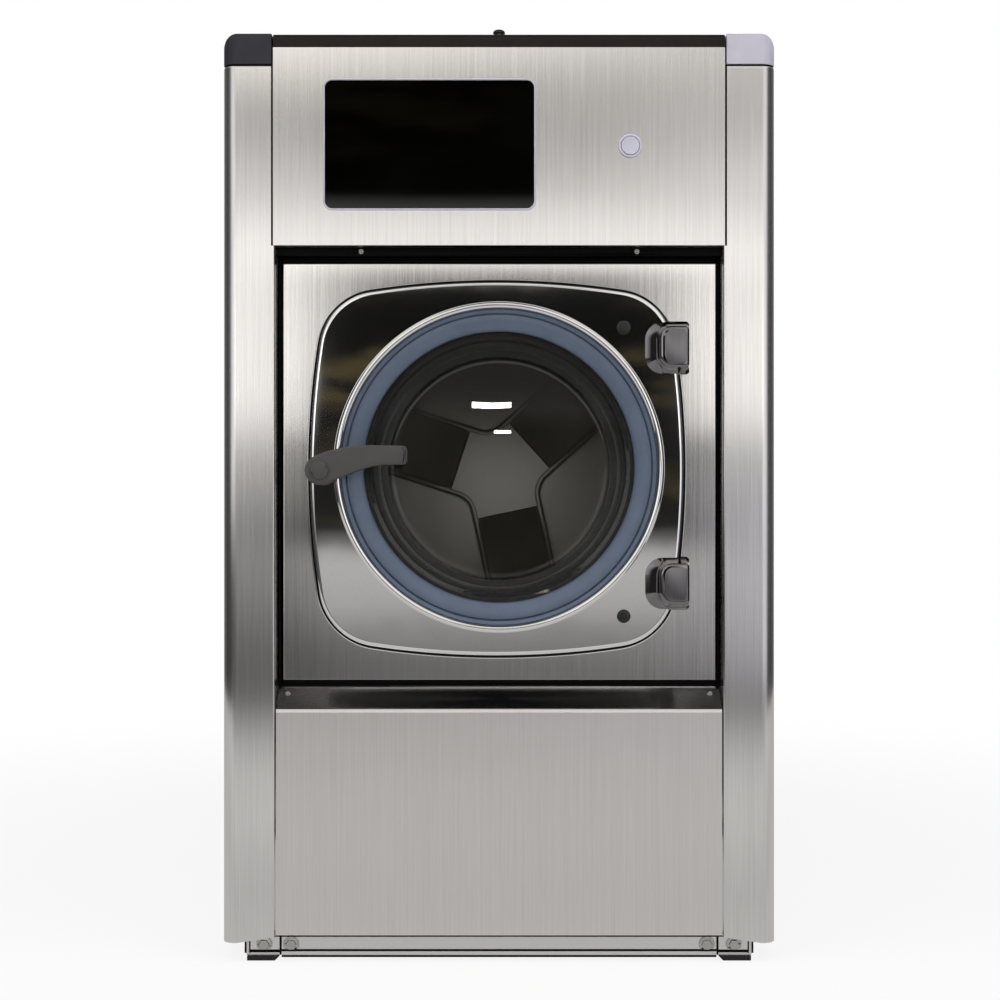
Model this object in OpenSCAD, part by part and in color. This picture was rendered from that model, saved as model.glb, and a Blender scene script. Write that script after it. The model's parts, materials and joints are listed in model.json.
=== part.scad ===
// Front-loading washer-extractor with a soft-mounted tub
// Millimetres. +Z is up, +X is the user's right, the front faces -Y.
// The origin is on the floor, in the middle of the footprint.

/* [Cabinet] */
// Width over the two front columns
cabinet_w = 794; // [760:1:840]
// Height of the top cover above the floor
cabinet_h = 1330; // [1290:1:1400]
// Depth from the column fronts to the rear panel
cabinet_d = 870; // [850:1:940]
// Thickness of the cabinet sheet
sheet_t = 1.5; // [1:0.1:2.5]
// Width of each front column
column_w = 75.5; // [66:0.5:76]
// Depth of the outer wall of each column
column_d = 80; // [64:1:100]
// Depth of the inner wall of each column, beside the door panel
column_return = 56; // [50:1:60]
// Radius of the outer vertical corner of each column
column_r = 20; // [10:1:26]
// How far the column front stops above its outer side
column_step = 8; // [4:1:12]
// Width of the part of a column's foot that reaches lower
column_lobe = 33; // [24:1:38]
// Height of the plastic corner caps
cap_h = 43.7; // [36:0.1:52]
// Radius of the rounded top edge along the sides
top_r = 22; // [14:1:28]
// How far the door panel sits behind the column fronts
recess = 33; // [28:1:40]

/* [Front panels] */
// Height of the underside of the control panel
control_z = 1026; // [1016:1:1040]
// Overlap of the control panel on each column
control_lap = 2.5; // [2:0.5:5]
// Height of the dark trim along the top front edge
trim_h = 20; // [14:0.5:24]
// Radius of its rounded front edge
trim_r = 9; // [4:0.5:13]
// Height of the black header strip under the control panel
header_h = 12; // [11:0.5:13]
// Setback of the header strip behind the column fronts
header_back = 18; // [12:1:22]
// Height where the lower panel bends into its ledge
ledge_front_z = 360; // [345:1:366]
// Height of the back edge of the ledge
ledge_back_z = 391; // [380:1:392]
// Inside radius of the bend between lower panel and ledge
ledge_r = 7; // [4:0.5:10]
// Gap between the lower panel and each column
panel_gap = 0.7; // [0.4:0.1:1.5]

/* [Display and button] */
// Width of the display glass
display_w = 301; // [280:1:320]
// Height of the steel above the display
display_above = 47.5; // [40:0.5:60]
// Height of the steel under the display
display_below = 53; // [44:0.5:60]
// Corner radius of the display glass
display_r = 11.5; // [6:0.5:16]
// Sideways place of the middle of the display
display_x = -99.6; // [-110:0.1:-90]
// Thickness of the display glass
display_t = 3; // [2:0.5:5]
// Sideways place of the start button
button_x = 188; // [170:1:200]
// Its height above the floor
button_z = 1168.5; // [1160:0.5:1176]
// Diameter of the start button's bezel
bezel_d = 34; // [32:0.5:38]
// Diameter of the start button
button_d = 26; // [22:0.5:28]
// Travel of the start button
button_travel = 3; // [2:0.5:4]

/* [Door] */
// Distance from the middle of the door to the middle of each side
door_r = 272; // [266:1:275]
// Radius of the shallow arc along each side of the door
door_side_r = 1200; // [900:10:2000]
// Corner radius of the door
door_corner_r = 94; // [80:1:105]
// Gap between the door panel and the back of the door
door_gap = 4; // [3.5:0.1:4.5]
// Thickness of the door
door_t = 38; // [34:1:42]
// Wall of the polished door plate
plate_t = 3; // [2.5:0.1:4]
// Height of the rounded rim of the door plate
rim_r = 12; // [8:1:14]
// Depth of the dark edge of the inner door frame
frame_edge = 6; // [4:1:8]
// Width of the dark line that this edge shows round the plate
frame_lip = 3; // [2:0.5:4]
// Radius of the round hole in the door plate
window_r = 218; // [215:1:221]
// Width of the bead around that hole
bead_w = 16; // [12:1:20]
// Height of that bead
bead_h = 7; // [4:1:9]
// Inner radius of the plastic window ring
ring_inner_r = 195; // [193:0.5:200]
// How far the window ring sits behind the door plate
ring_back = 6; // [3:1:10]
// Radius of the glass bowl where it enters the gasket
bowl_front_r = 188; // [184:1:189]
// Radius of the glass bowl at its inner end
bowl_back_r = 174; // [165:1:176]
// Reach of the glass bowl into the drum
bowl_depth = 110; // [90:1:125]
// Glass thickness of the bowl
bowl_t = 7; // [5:0.5:9]

/* [Hinges and lever] */
// Sideways place of the hinge axis
hinge_x = 258; // [256:1:260]
// Distance of the hinge axis in front of the door panel
hinge_out = 36; // [35:1:38]
// Distance between the two hinges
hinge_span = 336; // [320:2:350]
// Height of the covers over the hinges
bulge_h = 76; // [70:1:82]
// Width of the covers over the hinges
bulge_w = 67; // [60:1:74]
// How far the hinge covers stand proud of the door plate
bulge_out = 22; // [20:1:26]
// Radius of the hinge pins
hinge_pin_r = 6; // [5:0.5:7]
// Height of the hinge lugs
hinge_lug_h = 40; // [36:1:42]
// Running clearance on radius of shafts and pins
running_gap = 0.05; // [0.03:0.01:0.09]
// Sideways place of the lever pivot
lever_x = -253.3; // [-256:0.1:-250]
// Height of the lever pivot
lever_z = 703.7; // [698:0.1:708]
// Radius of the lever hub
lever_hub_r = 20.8; // [18:0.1:23]
// Length of the lever arm from its pivot
lever_l = 123.4; // [110:0.2:135]
// Thickness of the lever arm
lever_t = 15; // [12:0.5:18]
// Gap behind the lever arm
lever_gap = 15; // [12:0.5:18]
// Thickness of the cap on the lever pivot
lever_cap_t = 3; // [2:0.5:4]
// Radius of the lever spindle
spindle_r = 8; // [6:0.5:9]
// Reach of the latch cam from the spindle axis
cam_l = 18; // [16:0.5:19]

/* [Tub and drum] */
// Height of the drum axis above the floor
axis_z = 708.5; // [704:0.5:714]
// Gap between the front panel and each column
front_panel_gap = 6.4; // [4:0.2:7]
// Height of the front panel's lower edge
front_panel_z0 = 400; // [399.5:0.5:404]
// Height of the front panel's upper edge
front_panel_z1 = 1007; // [1000:0.5:1007.5]
// Thickness of the front panel
front_panel_t = 2; // [1.5:0.1:3]
// Inner radius of the rubber door gasket
gasket_r = 193; // [192:0.5:196]
// Inner radius of the neck of the tub front
neck_r = 213; // [208:1:216]
// Distance from the door panel to the tub front plate
neck_l = 38; // [36:1:44]
// Inner radius of the tub
tub_r = 345; // [340:1:350]
// Sheet thickness of the tub
tub_t = 3; // [2:0.5:4]
// Inner radius of the drum
drum_r = 325; // [318:1:330]
// Sheet thickness of the drum
drum_t = 1.5; // [1:0.1:2.5]
// Depth of the drum
drum_d = 400; // [385:1:405]
// Radius of the drum mouth
drum_mouth_r = 200; // [196:1:206]
// Distance from the tub front plate to the drum front
drum_gap = 16; // [12:1:20]
// Distance from the drum's back plate to the back of the tub
drum_back_gap = 37; // [34:1:50]
// Width of the lifters
lifter_w = 105; // [90:1:115]
// Height of the lifters above the drum wall
lifter_h = 100; // [80:1:110]
// Turn of the first lifter from the user's right
lifter_turn = 42; // [30:1:54]
// Distance from the axis to the crease where a lifter leaves the back plate
crease_r = 69; // [66:1:80]
// Height of the raised star on the drum's back plate
star_h = 12; // [8:1:16]
// Radius of the concave corners of the star
star_r = 45; // [35:1:55]
// Diameter of the holes in the drum wall
perforation_d = 8; // [5:0.5:10]
// Rows of holes along the drum
perforation_rows = 5; // [3:1:7]

/* [Drive] */
// Radius of the drum shaft
shaft_r = 30; // [26:1:34]
// Outer radius of the shaft bearings
bearing_r = 65; // [60:1:68]
// Width of the shaft bearings
bearing_w = 31; // [26:1:34]
// Length of the bearing housing
housing_l = 180; // [165:1:184]
// Radius of the drum pulley
pulley_r = 200; // [180:1:215]
// Width of the drum pulley and of the motor pulley
pulley_w = 45; // [38:1:48]
// Radius of the motor pulley
motor_pulley_r = 35; // [30:1:42]
// Thickness of the drive belt
belt_t = 6; // [4:0.5:8]
// Radius of the motor casing
motor_r = 80; // [70:1:86]
// Length of the motor casing
motor_l = 200; // [180:1:204]
// Sideways place of the motor
motor_x = 140; // [130:1:150]
// Height of the motor axis
motor_z = 212; // [205:1:220]
// Radius of the motor shaft
motor_shaft_r = 14; // [12:1:17]

/* [Suspension] */
// Largest travel of the tub up or down
bounce = 6; // [4:0.5:6]
// Distance of the springs and dampers from the inner edge of the side rails
spring_in = 31; // [29:1:33]
// Distance from the middle spring plane to each spring
spring_y = 230; // [200:1:245]
// Outer radius of a spring
spring_r = 27; // [24:1:29]
// Wire diameter of a spring
spring_wire = 9; // [7:0.5:10]
// Turns of wire in a spring
spring_turns = 6; // [5:1:7]
// Height of the underside of the cradle beams
beam_z = 250; // [240:1:256]
// Height of the cradle beams
beam_h = 60; // [48:1:62]
// Width of the cradle beams
beam_w = 60; // [52:1:66]
// Outer radius of a damper cylinder
damper_r = 20; // [18:1:23]
// Radius of a damper rod
damper_rod_r = 8; // [6:0.5:9]

/* [Base and feet] */
// Height of the base frame's top above the floor
base_z = 34.5; // [32:0.5:36]
// Height of the foot pads
foot_h = 7; // [6:0.5:9]
// Width of the side rails
rail_w = 70; // [66:1:74]
// Plate thickness of the base rails
rail_t = 4; // [3:0.5:5]
// Distance of the side rails inside the cabinet sides
rail_in = 13; // [8:1:15]
// Gap between the cross rails and the plates of the corner brackets
rail_gap = 3.5; // [2:0.5:5]
// Diameter of the floor anchor holes
anchor_d = 13; // [11:0.5:15]
// Distance of the floor anchor holes from the inner edge of the side rails
anchor_side = 28; // [24:1:32]
// Distance of the anchor holes from the front and back of the cabinet
anchor_in = 48; // [44:1:60]
// Diameter of the washers on the base bolts
washer_d = 22.6; // [20:0.2:24]
// Width across flats of the base bolts
bolt_af = 13; // [11:0.5:15]
// Height of the base bolts
bolt_z = 24; // [22:0.5:26]

/* [Soap hopper and rear] */
// Inner width of the soap hopper
hopper_w = 270; // [240:1:280]
// Inner depth of the soap hopper, front to back
hopper_l = 130; // [110:1:140]
// Depth of the soap compartments
hopper_h = 90; // [70:1:110]
// Thickness of the hopper walls
hopper_t = 3; // [2:0.5:4]
// Distance of the hopper behind the column fronts
hopper_back = 88; // [84:1:96]
// Width of the soap lid
lid_w = 300; // [292:1:308]
// Thickness of the soap lid
lid_t = 2.5; // [2:0.5:4]
// Base diameter of the lid knob
knob_d = 20; // [16:0.5:24]
// Height of the lid knob
knob_h = 17; // [12:0.5:20]
// Radius of the threaded water inlets
inlet_r = 13.2; // [12:0.1:14]
// Length of the threaded water inlets behind the rear panel
inlet_l = 20; // [16:1:24]
// Distance between the water inlets
inlet_step = 60; // [54:1:66]
// Outer radius of the drain outlet
drain_r = 37.5; // [35:0.5:40]
// Length of the drain outlet behind the rear panel
drain_l = 45; // [40:1:60]
// Sideways place of the drain
drain_x = -60; // [-66:1:-54]
// Height of the drain outlet's axis
drain_z = 100; // [92:1:106]
// Radius of the bore of the cable gland
gland_bore_r = 9; // [7:0.5:10]

/* [Hidden] */
$fn = 96;
// A little extra that lets a cut run past the faces that it opens
cut = 1;

// Depth chain, from the front of the lever to the end of the drain outlet
lever_reach = door_gap + door_t - recess + lever_gap + lever_t + lever_cap_t;
front_y = lever_reach - (cabinet_d + lever_reach + drain_l) / 2;
rear_y = front_y + cabinet_d;
panel_y = front_y + recess;
door_back_y = panel_y - door_gap;
plate_y = door_back_y - door_t;
bulge_y = plate_y - bulge_out;
arm_y = plate_y - lever_gap - lever_t;

// Width chain
side_x = cabinet_w / 2;
recess_x = side_x - column_w;
cap_gap = 2;
cap_x = recess_x + control_lap + cap_gap;
trim_z = cabinet_h - trim_h;
display_h = trim_z - control_z - display_above - display_below;
display_z = control_z + display_below + display_h / 2;
front_panel_w = 2 * (recess_x - front_panel_gap);

// Tub and drum, front to back
tub_front_y = panel_y + neck_l;
drum_front_y = tub_front_y + drum_gap;
drum_back_y = drum_front_y + drum_d;
tub_rear_y = drum_back_y + drum_back_gap;
drum_back_t = 3;
spider_t = 14;
flange_t = 12;
housing_y = tub_rear_y + tub_t;
housing_r = bearing_r + 12;
housing_end_y = housing_y + housing_l;
pulley_y = housing_end_y + 18;
shaft_end_y = pulley_y + pulley_w + 8;
bracket_t = 10;
bracket_y = housing_end_y - bracket_t;

// Door and lever
door_x = -3.2;
door_z = axis_z - 2;
hinge_mid_z = axis_z + 2;
plug_mid_z = axis_z - 6.9;
plug_span = 412;
hinge_y = panel_y - hinge_out;
bulge_right = hinge_x + 14;
hinge_clear = 1.5;
lug_r = hinge_pin_r + 5;
lug_t = 12;
ear_t = 9;
latch_r = cam_l + 5;
ring_y = plate_y + ring_back;
bowl_end_y = door_back_y + bowl_depth;
bowl_seat = 4;

// Base
rail_x1 = side_x - rail_in;
rail_x0 = rail_x1 - rail_w;
spring_x = rail_x0 + spring_in;
anchor_x = rail_x0 + anchor_side;
rail_front_y = front_y + 5;
rail_rear_y = rear_y - 5;
cross_x = rail_x0 - rail_gap / 2;
bracket_bolt_x = [cross_x - 14, rail_x0 + 23];
foot_l = 86;
beam_y0 = front_y + 130;
spring_mid_y = (beam_y0 + bracket_y) / 2;
damper_y = 120;
damper_h = 150;

// Hopper and lid
hopper_y0 = front_y + hopper_back;
hopper_y1 = hopper_y0 + hopper_l;
hopper_mid_y = (hopper_y0 + hopper_y1) / 2;
rim_t = 2;
lid_lift = 0.3;
lid_z = cabinet_h + rim_t + lid_lift;
lid_y0 = front_y + 48;
lid_axis_y = hopper_y1 + 30;
lid_axis_z = lid_z + 5.7;
lid_pin_r = 3;
lid_knuckle_r = 5.5;
lid_lug_x = 110;
spout_r = 22;
spout_t = 2.5;
slip_gap = 0.5;

// Rear connections
inlet_z = cabinet_h - hopper_h;
pipe_z = inlet_z + 20;
box_x0 = 70;
box_w = 260;
box_d = 140;
box_h = 180;
box_t = 3;
box_z0 = cabinet_h - top_r - 23 - box_h;
gland_x = box_x0 + 140;
gland_z = box_z0 + 75;
gland_l = 8;
gland_out = 24;
manifold_r = 12;
manifold_x = -100;
inlet_x0 = -280;
valve_w = 44;
valve_d = 60;

steel = [0.72, 0.70, 0.68];
chrome = [0.80, 0.80, 0.82];
dark = [0.12, 0.12, 0.13];
charcoal = [0.21, 0.21, 0.23];
lilac = [0.75, 0.73, 0.79];
blue_grey = [0.40, 0.46, 0.52];

// Placing helpers
// A flat shape in X and Z, given depth along Y
module along_y(y0, y1) {
  translate([0, y1, 0]) rotate([90, 0, 0]) linear_extrude(y1 - y0) children();
}
// A flat shape in Y and Z, given length along X
module along_x(x0, x1) {
  translate([x0, 0, 0]) rotate([90, 0, 90]) linear_extrude(x1 - x0) children();
}
// A box between two corners
module block(a, b) {
  translate(a) cube(b - a);
}
// A cylinder along Y
module rod_y(x, z, r, y0, y1) {
  translate([x, y1, z]) rotate([90, 0, 0]) cylinder(h = y1 - y0, r = r);
}
// A cylinder along X
module rod_x(y, z, r, x0, x1) {
  translate([x0, y, z]) rotate([0, 90, 0]) cylinder(h = x1 - x0, r = r);
}
// A cylinder along Z
module rod_z(x, y, r, z0, z1) {
  translate([x, y, z0]) cylinder(h = z1 - z0, r = r);
}
// A section in radius and Y, turned about the drum axis
module turned() {
  translate([0, 0, axis_z]) rotate([-90, 0, 0]) rotate_extrude() children();
}
// The same piece on the left and on the right
module both_sides() {
  children();
  mirror([1, 0, 0]) children();
}
// A rectangle with four round corners, centred
module round_rect(w, h, r) {
  square([w - 2 * r, h], center = true);
  square([w, h - 2 * r], center = true);
  for (sx = [-1, 1], sy = [-1, 1])
    translate([sx * (w / 2 - r), sy * (h / 2 - r)]) circle(r);
}
// A rectangle from the origin, with its far front corner rounded
module one_round(w, d, r) {
  difference() {
    square([w, d]);
    translate([w - r, -cut])
      difference() {
        square([r + cut, r + cut]);
        translate([0, r + cut]) circle(r);
      }
  }
}
function arc(c, r, a0, a1, n) =
  [for (i = [0:n]) c + r * [cos(a0 + (a1 - a0) * i / n), sin(a0 + (a1 - a0) * i / n)]];

// Cabinet

// Sheet column: front, rounded outer corner, side, and a return beside the door panel
module column_right() {
  translate([recess_x, front_y, base_z - column_step])
    difference() {
      linear_extrude(cabinet_h - cap_h - base_z + column_step)
        difference() {
          one_round(column_w, column_d, column_r);
          translate([sheet_t, sheet_t])
            one_round(column_w - 2 * sheet_t, column_d, column_r - sheet_t);
          translate([-cut, column_return]) square([sheet_t + 2 * cut, column_d]);
        }
      translate([-cut, -cut, -cut])
        cube([column_w - column_lobe + cut, column_d, column_step + cut]);
    }
}
module left_column() {
  color(steel) mirror([1, 0, 0]) column_right();
}
module right_column() {
  color(steel) column_right();
}

// Moulded cap on a column, rounded over the side and down the corner
module cap_right() {
  w = side_x - cap_x;
  intersection() {
    translate([cap_x, front_y, cabinet_h - cap_h])
      linear_extrude(cap_h) one_round(w, column_d, column_r);
    along_y(front_y, front_y + column_d)
      translate([cap_x, cabinet_h]) mirror([0, 1]) one_round(w, cap_h, top_r);
  }
}
module left_corner_cap() {
  color(charcoal) mirror([1, 0, 0]) cap_right();
}
module right_corner_cap() {
  color(lilac) cap_right();
}

module side_panels() {
  color(steel)
    both_sides() {
      block([side_x - sheet_t, front_y + column_d, base_z - column_step],
            [side_x, rear_y, cabinet_h - top_r]);
      block([side_x - 20, rear_y - sheet_t, base_z - column_step],
            [side_x - sheet_t, rear_y, cabinet_h - top_r]);
    }
}

// Top sheet, bent down over both sides, with a hole for the hopper
module top_cover() {
  color(steel)
    difference() {
      union() {
        along_y(front_y + column_d, rear_y)
          difference() {
            top_section(0);
            top_section(sheet_t);
            translate([-side_x, 0]) square([2 * side_x, cabinet_h - top_r]);
          }
        along_y(rear_y - sheet_t, rear_y)
          difference() {
            top_section(0);
            translate([-side_x, 0]) square([2 * side_x, cabinet_h - top_r]);
          }
        block([-cap_x + cut, front_y + trim_h, cabinet_h - sheet_t],
              [cap_x - cut, front_y + column_d, cabinet_h]);
      }
      hopper_hole();
    }
}
module top_section(inset) {
  r = top_r - inset;
  translate([0, cabinet_h - top_r]) {
    square([2 * (side_x - top_r), 2 * r], center = true);
    for (s = [-1, 1])
      translate([s * (side_x - top_r), 0]) circle(r);
  }
}
module hopper_hole() {
  block([-hopper_w / 2 - hopper_t, hopper_y0 - hopper_t, cabinet_h - 2 * sheet_t],
        [hopper_w / 2 + hopper_t, hopper_y1 + hopper_t, cabinet_h + cut]);
}

// Dark band that rounds off the top front edge
module top_trim() {
  x = recess_x + control_lap;
  color(dark)
    along_x(-x, x)
      translate([front_y + trim_h, cabinet_h])
        rotate(180) one_round(trim_h + sheet_t, trim_h, trim_r);
}

// Fascia sheet over both columns, with top and bottom returns
module control_panel() {
  x = recess_x + control_lap;
  color(steel)
    difference() {
      union() {
        block([-x, front_y - sheet_t, control_z], [x, front_y, trim_z]);
        block([-recess_x + cut, front_y, control_z],
              [recess_x - cut, panel_y, control_z + sheet_t]);
        block([-recess_x + cut, front_y, trim_z - sheet_t],
              [recess_x - cut, panel_y, trim_z]);
      }
      along_y(front_y - sheet_t - cut, front_y + cut)
        translate([display_x, display_z]) round_rect(display_w, display_h, display_r);
      rod_y(button_x, button_z, bezel_d / 2 - 2, front_y - sheet_t - cut, front_y + cut);
    }
}

// Black header strip and rubber strips around the door panel
module recess_surround() {
  color(dark)
    difference() {
      union() {
        block([-recess_x, header_y, control_z - header_h],
              [recess_x, strip_y1, control_z]);
        both_sides()
          block([front_panel_w / 2 + 0.8, panel_y, ledge_back_z],
                [recess_x, strip_y1, control_z]);
        block([-recess_x, panel_y + 2, ledge_back_z],
              [recess_x, strip_y1, front_panel_z0 - bounce - 0.5]);
      }
      for (s = [-1, 1])
        rod_y(s * header_screw_x, header_screw_z, screw_r, header_y - cut, header_y + screw_l);
    }
}
strip_y1 = panel_y + 14;
header_y = front_y + header_back;
header_screw_x = 199;
header_screw_z = control_z - header_h / 2;
screw_r = 2.5;
screw_l = 8;
screw_head_r = 4;
screw_head_h = 1.5;

// Lower panel, bent back into the sloped ledge under the door
module lower_panel() {
  x = recess_x - panel_gap;
  outer_r = ledge_r + sheet_t;
  bend = [front_y + outer_r, ledge_bend_z];
  color(steel)
    difference() {
      along_x(-x, x)
        polygon(concat(
          [[front_y, panel_foot_z]],
          arc(bend, outer_r, 180, 90 + ledge_slope, 8),
          [[ledge_y1, ledge_back_z], [ledge_y1, ledge_back_z - sheet_t / cos(ledge_slope)]],
          arc(bend, ledge_r, 90 + ledge_slope, 180, 8),
          [[front_y + sheet_t, panel_foot_z]]
        ));
      for (s = [-1, 1])
        ledge_screw_place(s) cylinder(h = 4 * screw_l, r = screw_r, center = true);
    }
}
panel_foot_z = base_z + 3;
ledge_y1 = panel_y + 2;
ledge_slope = atan2(ledge_back_z - ledge_front_z, ledge_y1 - front_y);
// Height of the centre of the bend, where the ledge plane touches its outer circle
ledge_bend_z = ledge_back_z - (ledge_r + sheet_t) / cos(ledge_slope)
  - (ledge_y1 - front_y - ledge_r - sheet_t) * tan(ledge_slope);
ledge_screw_x = recess_x - 18;
ledge_screw_up = 0.72;
module ledge_screw_place(s) {
  y = front_y + ledge_r + (ledge_y1 - front_y - ledge_r) * ledge_screw_up;
  z = ledge_back_z - (ledge_y1 - y) * tan(ledge_slope);
  translate([s * ledge_screw_x, y, z]) rotate([ledge_slope, 0, 0]) children();
}

// Small screws of the header strip and of the ledge
module panel_screws() {
  color(dark) {
    for (s = [-1, 1]) {
      rod_y(s * header_screw_x, header_screw_z, screw_r, header_y, header_y + screw_l);
      rod_y(s * header_screw_x, header_screw_z, screw_head_r, header_y - screw_head_h, header_y);
      ledge_screw_place(s) {
        translate([0, 0, -screw_l]) cylinder(h = screw_l, r = screw_r);
        cylinder(h = screw_head_h, r = screw_head_r);
      }
    }
  }
}

// Rear sheet with louvres and the holes for water, power and drain
module rear_panel() {
  x = side_x - 22;
  color(steel)
    difference() {
      block([-x, rear_y - sheet_t, base_z], [x, rear_y, cabinet_h - top_r]);
      rear_hole(drain_x, drain_z, drain_r + 1);
      for (i = [0:2]) rear_hole(inlet_x0 + i * inlet_step, inlet_z, inlet_r + 1);
      rear_hole(gland_x, gland_z, gland_r + slip_gap);
      for (i = [0:louvres - 1])
        block([-louvre_w / 2, rear_y - 2 * sheet_t, louvre_z + i * louvre_step],
              [louvre_w / 2, rear_y + cut, louvre_z + i * louvre_step + louvre_h]);
    }
}
module rear_hole(x, z, r) {
  rod_y(x, z, r, rear_y - 2 * sheet_t, rear_y + cut);
}
gland_r = 16;
louvres = 6;
louvre_w = 260;
louvre_h = 6;
louvre_step = 22;
louvre_z = 420;

// Base

// Front and rear rails: an upright plate with a lip under it
module cross_rails() {
  color(steel) {
    cross_rail();
    translate([0, front_y + rear_y, 0]) mirror([0, 1, 0]) cross_rail();
  }
}
module cross_rail() {
  z0 = foot_h + lip_gap;
  difference() {
    along_x(-cross_x, cross_x)
      polygon([
        [rail_front_y, base_z], [rail_front_y, groove_z1], [rail_front_y + groove_deep, groove_z1],
        [rail_front_y + groove_deep, groove_z0], [rail_front_y - lip_out, groove_z0],
        [rail_front_y - lip_out, z0], [rail_front_y + 45, z0],
        [rail_front_y + 45, z0 + rail_t], [rail_front_y + rail_t, z0 + rail_t],
        [rail_front_y + rail_t, base_z - rail_t], [rail_front_y + 30, base_z - rail_t],
        [rail_front_y + 30, base_z]
      ]);
    both_sides()
      rod_y(bracket_bolt_x[0], bolt_z, bolt_r, rail_front_y - cut, rail_front_y + rail_t + cut);
  }
}
bolt_r = 4;
// Clearance of the cross rails above the level of the side rails
lip_gap = 1.5;
// Shadow groove between the upright plate and the lip under it
groove_z0 = foot_h + 7;
groove_z1 = foot_h + 9.5;
groove_deep = 2.5;
lip_out = 2;

// Angle-section side rails that carry the springs, narrower where they end under the columns
module side_rails() {
  y0 = rail_front_y + rail_t;
  y1 = rail_rear_y - rail_t;
  color(steel)
    both_sides()
      difference() {
        union() {
          rail_length(rail_x1, y0 + rail_nose_l, y1 - rail_nose_l);
          rail_length(rail_nose_x, y0, y0 + rail_nose_l + cut);
          rail_length(rail_nose_x, y1 - rail_nose_l - cut, y1);
        }
        anchor_holes(foot_h - cut, foot_h + rail_t + cut);
      }
}
module rail_length(x1, y0, y1) {
  block([rail_x0, y0, foot_h], [x1, y1, foot_h + rail_t]);
  block([x1 - rail_t, y0, foot_h], [x1, y1, base_z]);
}
rail_nose_l = 115;
rail_nose_x = rail_x0 + 49;
module anchor_holes(z0, z1) {
  for (y = [front_y + anchor_in, rear_y - anchor_in])
    rod_z(anchor_x, y, anchor_d / 2, z0, z1);
}

// Plates that tie the cross rails to the side rails at the four corners
module corner_brackets() {
  color(steel) {
    both_sides() corner_bracket();
    translate([0, front_y + rear_y, 0]) mirror([0, 1, 0]) both_sides() corner_bracket();
  }
}
module corner_bracket() {
  y1 = rail_front_y + rail_t;
  y2 = y1 + 3;
  x1 = rail_x0 + 43;
  z0 = foot_h + rail_t;
  z1 = base_z - rail_t - 0.5;
  difference() {
    union() {
      block([rail_x0 + 1, rail_front_y, z0 + 5], [x1, y1, base_z]);
      block([rail_x0 + 1, y1, z0], [x1, y2, z1]);
      block([cross_x - 30, y1, z0 + lip_gap], [rail_x0 + 2, y2, z1]);
    }
    for (x = bracket_bolt_x)
      rod_y(x, bolt_z, bolt_r, rail_front_y - cut, y2 + cut);
  }
}

// Hex bolts with washers, two at each corner
module base_bolts() {
  color(chrome) {
    both_sides() for (x = bracket_bolt_x) base_bolt(x);
    translate([0, front_y + rear_y, 0]) mirror([0, 1, 0])
      both_sides() for (x = bracket_bolt_x) base_bolt(x);
  }
}
module base_bolt(x) {
  difference() {
    union() {
      rod_y(x, bolt_z, washer_d / 2, rail_front_y - 2, rail_front_y);
      rod_y(x, bolt_z, bolt_r, rail_front_y, rail_front_y + rail_t + 8);
      translate([x, rail_front_y - 2, bolt_z]) rotate([90, 0, 0])
        cylinder(h = 5, r = bolt_af / sqrt(3), $fn = 6);
    }
    // the washer sits on the plate above the rail's lip
    block([x - washer_d, rail_front_y - 2 - cut, 0], [x + washer_d, rail_front_y, foot_h + 10.5]);
  }
}

// Rubber pads under the side rails, bored for the anchors
module foot_pads() {
  color(dark)
    both_sides()
      difference() {
        for (y = [front_y + anchor_in - foot_l / 2, rear_y - anchor_in - foot_l / 2])
          translate([0, y, 0])
            along_y(0, foot_l)
              polygon([[anchor_x - 27, foot_h], [anchor_x - 20, 0], [anchor_x + 20, 0],
                       [anchor_x + 20, foot_h]]);
        anchor_holes(-cut, foot_h + cut);
      }
}

// Controls

module display_glass() {
  color([0.02, 0.02, 0.02])
    along_y(display_y, display_y + display_t)
      translate([display_x, display_z])
        round_rect(display_w - 1, display_h - 1, display_r - 0.5);
}

// Housing behind the fascia that holds the display and the switch
module control_unit() {
  y0 = display_y + display_t;
  y1 = header_y + 14;
  half_w = display_w / 2 + 12;
  half_h = display_h / 2 + 12;
  color(dark)
    difference() {
      union() {
        block([display_x - half_w, y0, display_z - half_h], [display_x + half_w, y1, display_z + half_h]);
        block([display_x, y0 + 8, display_z - 22], [button_x + 22, y1, display_z + 22]);
      }
      rod_y(button_x, button_z, stem_r + running_gap, front_y, stem_y1 + button_travel + cut);
    }
}
// Front of the display glass, half a millimetre proud of the fascia
display_y = front_y - sheet_t - 0.5;
stem_r = 5;
stem_y1 = header_y + 2;

module button_bezel() {
  color(lilac)
    difference() {
      union() {
        rod_y(button_x, button_z, bezel_d / 2, bezel_y, front_y - sheet_t);
        rod_y(button_x, button_z, bezel_d / 2 - 2, front_y - sheet_t, bezel_y1);
      }
      rod_y(button_x, button_z, button_d / 2 + button_gap, bezel_y - cut, bezel_y1 + cut);
    }
}
bezel_y = front_y - sheet_t - 3;
bezel_y1 = front_y + 6;
button_gap = 0.35;

// Dished push button on a stem
module start_button() {
  face_y = bezel_y - 0.5;
  head_t = 6;
  dish_r = 60;
  dish_deep = 1.1;
  color(lilac)
    difference() {
      union() {
        rod_y(button_x, button_z, button_d / 2, face_y, face_y + head_t);
        rod_y(button_x, button_z, stem_r, face_y + head_t, stem_y1);
      }
      translate([button_x, face_y - dish_r + dish_deep, button_z]) sphere(dish_r);
    }
}

// Soap hopper

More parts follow.
